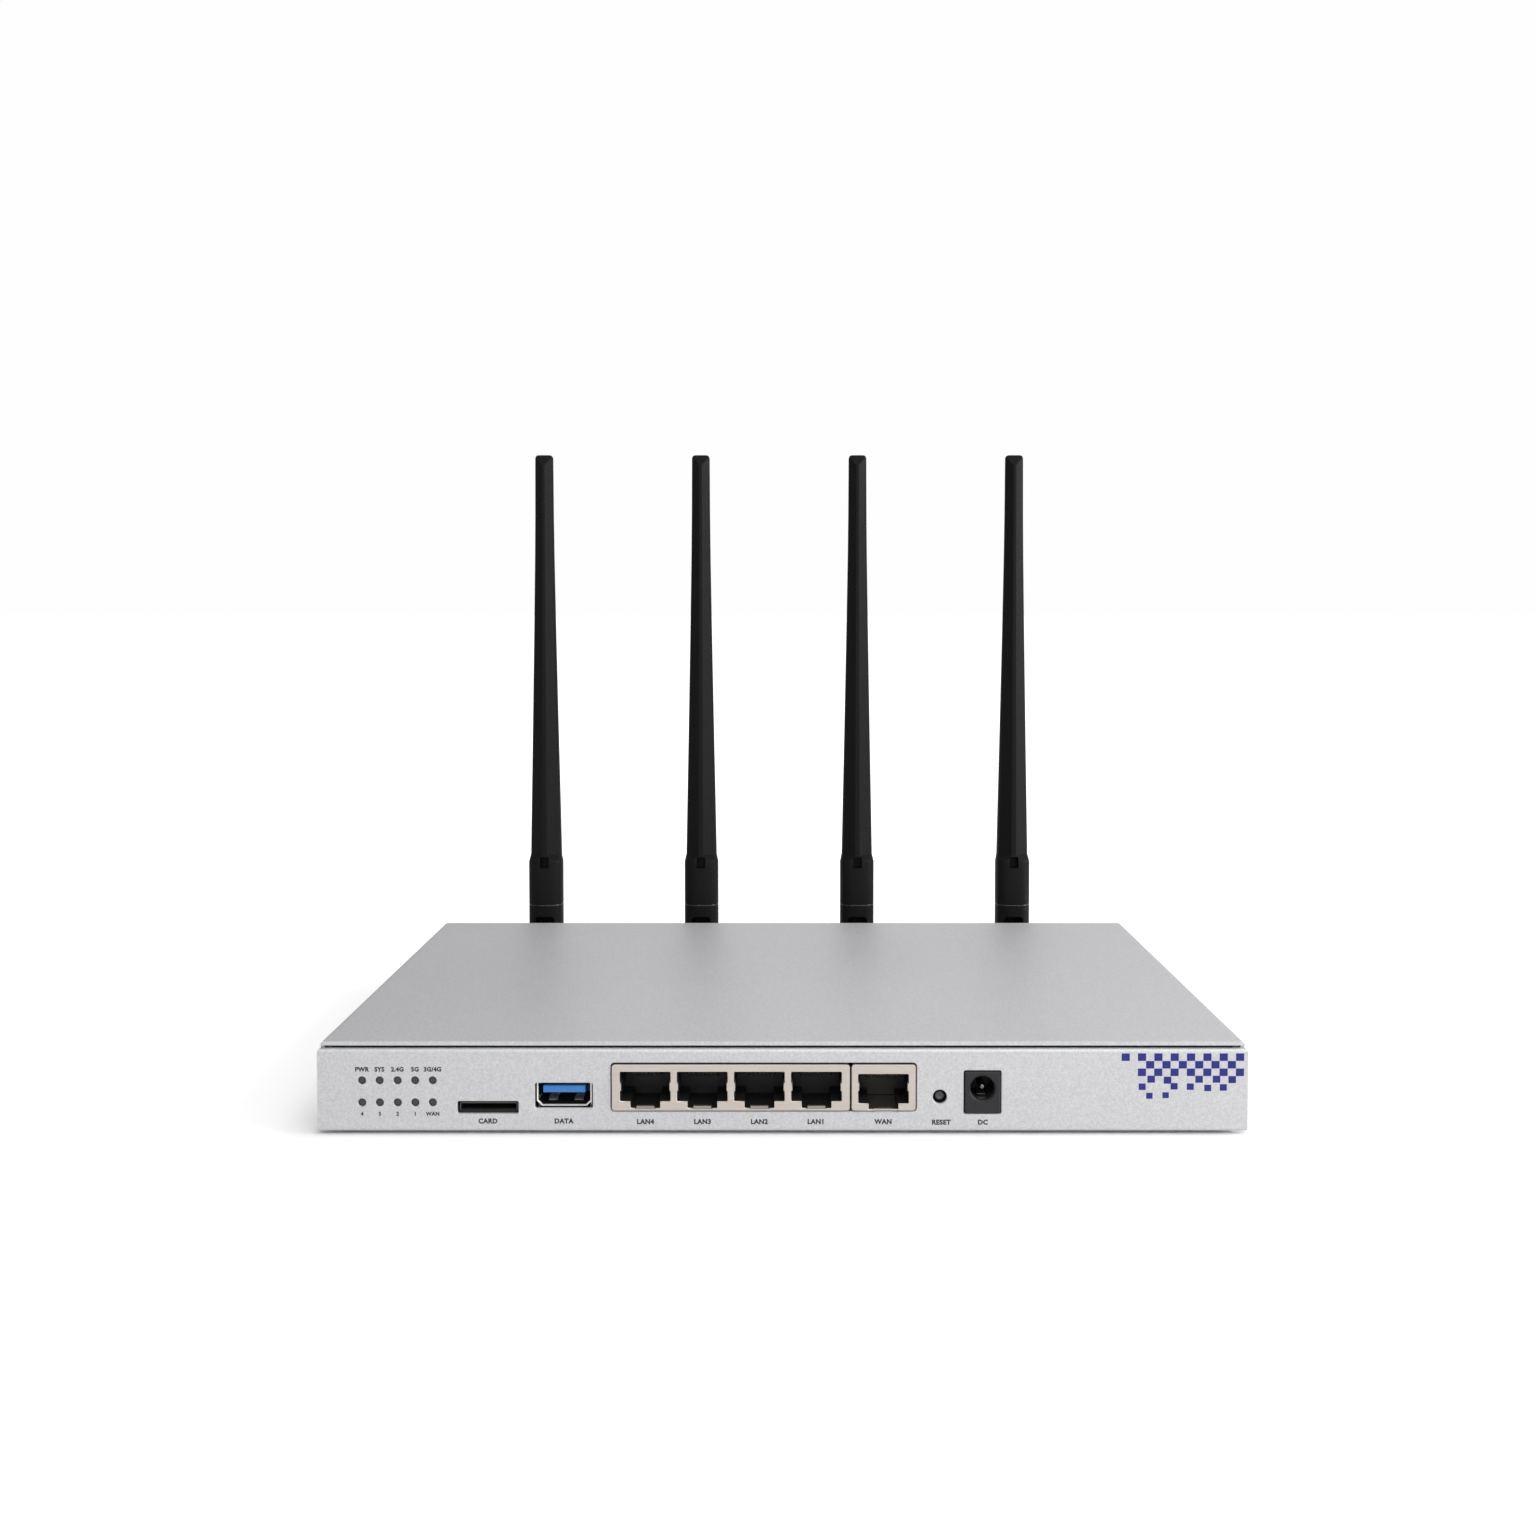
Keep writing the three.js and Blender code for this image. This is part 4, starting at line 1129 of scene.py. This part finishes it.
def bladeRing(x, y, z, width, inset=0.0):
    flat = width * bladeDetail["flatShare"]
    w = width / 2 - inset
    d = width * bladeDetail["depthShare"] / 2 - inset
    corner = min(1.6, w * 0.4)
    outline = [
        (-flat, -d), (flat, -d), (w - 0.45, -d * 0.35), (w, -d * 0.1), (w, d - corner),
        (w - corner * 0.3, d - corner * 0.3), (w - corner, d), (-w + corner, d),
        (-w + corner * 0.3, d - corner * 0.3), (-w, d - corner), (-w, -d * 0.1), (-w + 0.45, -d * 0.35),
    ]
    ring = []
    for i, (u, v) in enumerate(outline):
        nu, nv = outline[(i + 1) % len(outline)]
        for k in range(3):
            ring.append((x + u + (nu - u) * k / 3, y + v + (nv - v) * k / 3, z))
    return ring


def antennaCentre(number):
    joint = next(j for j in frame["joints"] if j["name"] == f"antenna_tilt_{number}")
    return [value / mm for value in joint["pos_m"]]


def buildBlade(number):
    x, y, _ = antennaCentre(number)
    tip = extent(f"antenna_blade_{number}")[1][2]
    seam = lidTop + bladeDetail["seam"] + 0.05
    rings = [
        sleeveRing(x, y, seam, 0.25), sleeveRing(x, y, seam + 0.12, 0.05), sleeveRing(x, y, seam + 0.3),
        sleeveRing(x, y, lidTop + bladeDetail["sleeveTop"]),
        sleeveRing(x, y, lidTop + bladeDetail["sleeveTop"] + 0.8, 0.18),
    ]
    for above, width in bladeDetail["taper"]:
        rings.append(bladeRing(x, y, lidTop + above, width))
    for below, inset in bladeDetail["tipRounding"]:
        rings.append(bladeRing(x, y, tip - below, bladeDetail["tipWidth"], inset))
    bm = bmesh.new()
    skin(bm, rings)
    blade = makeObject(f"antennaBlade{number}", bm, ["antennaBlack"])
    cuts = bmesh.new()
    front = y - bladeDetail["tipWidth"] * bladeDetail["depthShare"] / 2
    slant = [(front - 0.02, tip - 3.6), (front + 2.35, tip + 0.4), (front - 4, tip + 0.4), (front - 4, tip - 3.6)]
    skin(cuts, [[(x + side, v, w) for v, w in slant] for side in (-6, 6)])
    skin(cuts, [
        roundRing("y", at, x - 1.5, x + 1.5, lidTop + 15.6, lidTop + 19.4, 0.15, 2) for at in (y - 9, y - 1.5)
    ])
    carve(blade, cuts)
    addBevel(blade, bladeDetail["edge"], 2, 22)
    applyModifiers(blade)
    finishPiece(blade, "antenna_plastic", f"antenna_blade_{number}", angle=28, body=f"antenna_{number}")

    # A real parting line, given a lighter glossy band so that it reads as a bright line: partly painted highlight.
    ring = bmesh.new()
    skin(ring, [
        sleeveRing(x, y, lidTop + bladeDetail["seam"] + at, inset)
        for at, inset in ((-0.16, 0.6), (-0.16, 0.08), (0.0, 0.0), (0.16, 0.08), (0.16, 0.6))
    ])
    ringObject = makeObject(f"antennaSeam{number}", ring, ["seamHighlightBlack"])
    finishPiece(ringObject, "antenna_plastic", angle=60, weighted=False, body=f"antenna_{number}")


def buildFork(number):
    x, y, pivotZ = antennaCentre(number)
    half = bladeDetail["sleeveWidth"] / 2
    seam = lidTop + bladeDetail["seam"] - 0.05
    bm = bmesh.new()
    skin(bm, [
        sleeveRing(x, y, pivotZ), sleeveRing(x, y, seam - 0.3), sleeveRing(x, y, seam - 0.12, 0.05),
        sleeveRing(x, y, seam, 0.25),
    ])
    fork = makeObject(f"antennaFork{number}", bm, ["antennaBlack", "screwSteel"])
    barrel = bmesh.new()
    radius = bladeDetail["barrelRadius"]
    turned(barrel, "x", y, pivotZ, [
        (x - half, radius - 0.7), (x - half + 0.15, radius - 0.25), (x - half + 0.5, radius),
        (x + half - 0.5, radius), (x + half - 0.15, radius - 0.25), (x + half, radius - 0.7)], 48)
    combine(fork, barrel, "UNION")
    slotTop = lidTop - 1.3
    slotHalf = bladeDetail["slotWidth"] / 2
    slot = bmesh.new()
    right = [(slotHalf + 0.5, pivotZ - 8), (slotHalf, pivotZ), (slotHalf, slotTop - 0.9), (slotHalf - 0.8, slotTop)]
    outline = [(x + u, v) for u, v in right] + [(x - u, v) for u, v in reversed(right)]
    prism(slot, "y", outline, y - 8, y + 2.2)
    carve(fork, slot)
    drill(fork, "x", y, pivotZ, [(x - slotHalf, 5.2), (x + slotHalf, 5.2)], 48)
    under = bmesh.new()
    block(under, x - slotHalf, x + slotHalf, y, y + 8, pivotZ - 8, pivotZ)
    carve(fork, under)
    addBevel(fork, 0.12, 2, 60)
    applyModifiers(fork)
    pin = reopen(fork)
    turned(pin, "x", y, pivotZ, [(x - slotHalf - 1, 1.4), (x + slotHalf + 1, 1.4)], 32, slot=1)
    for side in (-1, 1):
        face = x + side * half
        head = ((0.4, 1.9), (0, 1.9), (0, 1.4), (0.12, 1.3), (0.12, 0.3))
        turned(pin, "x", y, pivotZ, [(face - side * depth, radius) for depth, radius in head], 32, slot=1)
    store(fork, pin)
    finishPiece(fork, "antenna_plastic", f"antenna_fork_{number}", angle=40, body=f"antenna_{number}")


def buildKnuckle(number):
    x, y, pivotZ = antennaCentre(number)
    start = extent(f"antenna_knuckle_{number}")[0][1]
    bm = bmesh.new()
    turned(bm, "y", x, pivotZ, [(start + at, radius) for at, radius in (
        (0, 1.6), (0.2, 1.8), (2.4, 1.8), (2.4, 4.5), (2.7, 4.8), (3.6, 4.8), (3.8, 4.55), (4.1, 4.55),
        (4.3, 4.8), (6.4, 4.8), (6.8, 4.4))], 48)
    knuckle = makeObject(f"antennaKnuckle{number}", bm, ["antennaBlack"])
    half, radius = bladeDetail["tongueWidth"] / 2, bladeDetail["tongueRadius"]
    tongue = bmesh.new()
    outline = [(start + 6.2, pivotZ - 4.0), *arcPoints(y, pivotZ, radius, -90, 90, 24), (start + 6.2, pivotZ + 4.0)]
    skin(tongue, [
        [(x + at, (v - y) * k + y if v > y else v, (w - pivotZ) * k + pivotZ) for v, w in outline]
        for at, k in ((-half, 0.95), (-half + 0.22, 1.0), (half - 0.22, 1.0), (half, 0.95))
    ])
    combine(knuckle, tongue, "UNION")
    drill(knuckle, "x", y, pivotZ, [(x - 5, 1.7), (x + 5, 1.7)], 32)
    body = f"antenna_swivel_part_{number}"
    finishPiece(knuckle, "antenna_plastic", f"antenna_knuckle_{number}", body=body, angle=40)


mountDetail = {
    "acrossFlats": 9.0, "thread": 3.1, "threadCore": 2.86, "threadPitch": 0.62, "nutBore": 3.3,
    "ribs": 28, "groove": 0.26,
}


# A hexagon plate between two Y levels, chamfered round both faces.
def hexPlate(bm, x, z, start, end, chamfer):
    wide = mountDetail["acrossFlats"]
    narrow = wide - 2 * chamfer
    skin(bm, [
        circleRing("y", at, x, z, size / math.sqrt(3), 6)
        for at, size in ((start, narrow), (start + chamfer, wide), (end - chamfer, wide), (end, narrow))
    ])


def buildJack(number):
    x, _, pivotZ = antennaCentre(number)
    low, high = extent(f"antenna_jack_{number}")
    inner, outer = low[1], rearY - sheet - 0.3
    thread, core = mountDetail["thread"], mountDetail["threadCore"]
    bm = bmesh.new()
    hexPlate(bm, x, pivotZ, inner, outer, 0.35)
    profile = [(inner + 0.2, 2.9), (outer + 0.3, thread)]
    at = outer + 0.5
    while at < high[1] - 0.9:
        profile += [(at, thread), (at + 0.16, thread), (at + 0.32, core), (at + 0.42, core)]
        at += mountDetail["threadPitch"]
    profile += [(high[1] - 0.3, thread), (high[1], 2.8)]
    turned(bm, "y", x, pivotZ, profile, 40)
    jack = makeObject(f"antennaJack{number}", bm, ["goldPlate"])
    finishPiece(jack, "gold_plate", f"antenna_jack_{number}", angle=30)

    low, high = extent(f"antenna_jack_nut_{number}")
    nut = bmesh.new()
    hexPlate(nut, x, pivotZ, low[1], high[1], 0.3)
    nutObject = makeObject(f"antennaJackNut{number}", nut, ["goldPlate"])
    radius = mountDetail["nutBore"]
    drill(nutObject, "y", x, pivotZ, [
        (low[1] - 0.5, radius + 0.8), (low[1] + 0.25, radius), (high[1] - 0.25, radius),
        (high[1] + 0.5, radius + 0.8)], 40)
    finishPiece(nutObject, "gold_plate", f"antenna_jack_nut_{number}", angle=30)


def ribbedRing(at, x, z, radius, groove):
    ring = []
    steps = mountDetail["ribs"] * 4
    for i in range(steps):
        angle = 2 * math.pi * i / steps
        r = radius - (groove if i % 4 in (2, 3) else 0)
        ring.append((x + r * math.cos(angle), at, z + r * math.sin(angle)))
    return ring


def buildCouplingNut(number):
    x, _, pivotZ = antennaCentre(number)
    low, high = extent(f"antenna_coupling_nut_{number}")
    start, end = low[1], high[1]
    radius = (high[0] - low[0]) / 2
    groove = mountDetail["groove"]
    bm = bmesh.new()
    skin(bm, [ribbedRing(at, x, pivotZ, radius - inset, cut) for at, inset, cut in (
        (start, 0.35, 0), (start + 0.3, 0.05, 0), (start + 0.9, 0.05, 0), (start + 1.0, 0, groove),
        (end - 1.3, 0, groove), (end - 1.2, 0.05, 0), (end - 0.4, 0.05, 0), (end, 0.45, 0))])
    nut = makeObject(f"antennaCouplingNut{number}", bm, ["antennaBlack"])
    drill(nut, "y", x, pivotZ, [
        (start - 0.5, 3.9), (start + 0.4, 3.35), (start + 6.2, 3.35), (start + 6.2, 2.1), (end + 0.5, 2.1)], 40)
    finishPiece(nut, "antenna_plastic", f"antenna_coupling_nut_{number}", angle=30)


for number in antennaNumbers:
    buildBlade(number)
    buildFork(number)
    buildKnuckle(number)
    buildJack(number)
    buildCouplingNut(number)
    recolour(f"coax_pigtail_{number}", "cableJacket")


print("filling the circuit board")

boardFinishes = {
    "main_board": "solderMask", "processor_chip": "chipResin", "processor_heatsink": "sawnAluminium",
    "radio_shield_can": "nickel", "lan_magnetics": "chipResin",
}
for node, finish in boardFinishes.items():
    recolour(node, finish)

boardDetail = {
    "seed": 5, "count": 90, "apart": 2.5, "cansAt": [(66, 34), (74, 34), (66, 43), (-62, 40)],
    "canRadius": 3.2, "canHeight": 7.0,
    "sizes": [(0.8, 0.4, 0.45), (1.0, 0.6, 0.55), (1.6, 0.8, 0.7), (2.4, 2.0, 1.0), (3.6, 3.6, 1.1)],
}


# Small chips and passives scattered over the free board, and a few round capacitor cans.
def buildBoardParts():
    chance = random.Random(boardDetail["seed"])
    low, high = extent("main_board")
    floor = high[2] + 0.03
    taken = [extent(node) for node in ("processor_heatsink", "radio_shield_can", "lan_magnetics")]
    cans = bmesh.new()
    radius, tall = boardDetail["canRadius"], boardDetail["canHeight"]
    for x, fromFront in boardDetail["cansAt"]:
        y = low[1] + fromFront
        taken.append(([x - radius, y - radius], [x + radius, y + radius]))
        block(cans, x - radius, x + radius, y - radius, y + radius, floor, floor + 0.5, slot=1)
        turned(cans, "z", x, y, [
            (floor + 0.5, radius), (floor + 1.3, radius), (floor + 1.6, radius - 0.25), (floor + 1.9, radius),
            (floor + tall - 0.3, radius), (floor + tall, radius - 0.35)], 32)
    canObject = makeObject("boardCapacitors", cans, ["sawnAluminium", "chipResin"], soften=0.1)
    finishPiece(canObject, "heatsink_aluminium")

    chips = bmesh.new()
    placed = 0
    while placed < boardDetail["count"]:
        halfX, halfY, tall = chance.choice(boardDetail["sizes"])
        if chance.random() < 0.5:
            halfX, halfY = halfY, halfX
        x = chance.uniform(low[0] + 12, high[0] - 12)
        y = chance.uniform(low[1] + 24, high[1] - 26)
        gapX, gapY = halfX + boardDetail["apart"], halfY + boardDetail["apart"]
        if any(a[0] - gapX < x < b[0] + gapX and a[1] - gapY < y < b[1] + gapY for a, b in taken):
            continue
        taken.append(([x - halfX, y - halfY], [x + halfX, y + halfY]))
        placed += 1
        if max(halfX, halfY) > 2:
            block(chips, x - halfX, x + halfX, y - halfY, y + halfY, floor, floor + tall)
            continue
        capX, capY = (halfX * 0.3, 0) if halfX > halfY else (0, halfY * 0.3)
        block(chips, x - halfX + capX, x + halfX - capX, y - halfY + capY, y + halfY - capY, floor, floor + tall)
        for side in (-1, 1):
            if capX:
                ends = sorted((x + side * (halfX - capX), x + side * halfX))
                block(chips, *ends, y - halfY, y + halfY, floor, floor + tall, slot=1)
            else:
                ends = sorted((y + side * (halfY - capY), y + side * halfY))
                block(chips, x - halfX, x + halfX, *ends, floor, floor + tall, slot=1)
    chipObject = makeObject("boardComponents", chips, ["chipResin", "shadedDullTin"])
    finishPiece(chipObject, "chip_resin")


buildBoardParts()


print("lighting and camera")

studio = {
    "floorSize": 30.0, "floorTone": (0.9, 0.9, 0.905, 1), "worldLight": 0.33, "backdrop": 0.99,
    "glowStops": [(0, 0.0), (0.6, 0.17), (14, 0.36), (60, 0.5), (200, 0.65), (800, 0.9)],
    "cameraAhead": 397.45, "cameraHeight": 130.67, "cameraX": 0.36, "pitch": 2.19,
    "lens": 38.44, "shiftX": -0.0104, "shiftY": -0.0676,
}
# Softboxes: place and target in metres, width and height, watts.
softboxes = {
    "backSoftbox": ((0.4, 1.3, 1.0), (0, 0, 0), (1.6, 1.0), 4.2),
    "rightSoftbox": ((1.5, -0.3, 0.6), (0, 0, 0.05), (1.2, 1.0), 23),
    "frontRightSoftbox": ((1.0, -1.3, 0.7), (0, 0, 0.05), (1.0, 0.8), 4.0),
    "frontSoftbox": ((0, -1.7, 0.5), (0, 0, 0.05), (1.4, 0.6), 4.6),
    "highSoftbox": ((0.2, -1.2, 1.4), (0, 0, 0), (1.4, 0.5), 13),
}


# The floor glows for the camera only, less and less towards the case, so that it meets the backdrop's white.
def buildFloor():
    half = studio["floorSize"] / 2 / mm
    bm = bmesh.new()
    block(bm, -half, half, -half, half, -4, -0.02)
    material = bpy.data.materials.new("paleFloor")
    material.use_nodes = True
    tree = material.node_tree
    apart = addNode(tree, "SeparateXYZ", {"Vector": objectPoint(tree)})
    squares = []
    for axis, centre, half in (("X", 0, trayHalf - 1), ("Y", middleY, (rearY - frontY) / 2 - 1)):
        reach = addMath(tree, "ABSOLUTE", addMath(tree, "SUBTRACT", apart.outputs[axis], centre * mm))
        beyond = addMath(tree, "MAXIMUM", addMath(tree, "SUBTRACT", reach, half * mm), 0)
        squares.append(addMath(tree, "MULTIPLY", beyond, beyond))
    distance = addMath(tree, "SQRT", addMath(tree, "ADD", *squares))
    stops = studio["glowStops"]
    farthest = stops[-1][0]
    rise = addNode(tree, "ValToRGB", {"Fac": addMath(tree, "DIVIDE", distance, farthest * mm)})
    while len(rise.color_ramp.elements) < len(stops):
        rise.color_ramp.elements.new(0.5)
    for element, (far, level) in zip(rise.color_ramp.elements, stops):
        element.position = far / farthest
        element.color = (level, level, level, 1)
    ray = addNode(tree, "LightPath", {}).outputs["Is Camera Ray"]
    feed(tree, tree.nodes["Principled BSDF"], {
        "Base Color": studio["floorTone"], "Roughness": 0.3, "Specular IOR Level": 0.3,
        "Emission Color": (1, 1, 1, 1), "Emission Strength": addMath(tree, "MULTIPLY", ray, rise.outputs["Color"])})
    finishes["paleFloor"] = material
    makeObject("studioFloor", bm, ["paleFloor"])


def buildWorld():
    world = bpy.data.worlds.new("softStudio")
    scene.world = world
    world.use_nodes = True
    tree = world.node_tree
    tree.nodes.clear()
    lighting, backdrop = (
        addNode(tree, "Background", {"Color": (1, 1, 1, 1), "Strength": studio[kind]}).outputs["Background"]
        for kind in ("worldLight", "backdrop"))
    ray = addNode(tree, "LightPath", {}).outputs["Is Camera Ray"]
    mix = addNode(tree, "MixShader", {"Fac": ray, 1: lighting, 2: backdrop})
    addNode(tree, "OutputWorld", {"Surface": mix.outputs["Shader"]})


def addSoftbox(name, location, target, size, power):
    light = bpy.data.lights.new(name, "AREA")
    light.shape = "RECTANGLE"
    light.size, light.size_y = size
    light.energy = power
    lamp = bpy.data.objects.new(name, light)
    scene.collection.objects.link(lamp)
    lamp.location = location
    lamp.rotation_euler = (Vector(target) - Vector(location)).to_track_quat("-Z", "Y").to_euler()


def buildCamera():
    data = bpy.data.cameras.new("studioCamera")
    data.sensor_width = 36
    data.lens = studio["lens"]
    data.shift_x = studio["shiftX"]
    data.shift_y = studio["shiftY"]
    data.clip_end = 50
    camera = bpy.data.objects.new("studioCamera", data)
    scene.collection.objects.link(camera)
    camera.location = Vector((studio["cameraX"], frontY - studio["cameraAhead"], studio["cameraHeight"])) * mm
    camera.rotation_euler = (math.radians(90 - studio["pitch"]), 0, 0)
    scene.camera = camera


buildFloor()
buildWorld()
for name, setup in softboxes.items():
    addSoftbox(name, *setup)
buildCamera()
scene.view_settings.view_transform = "Standard"
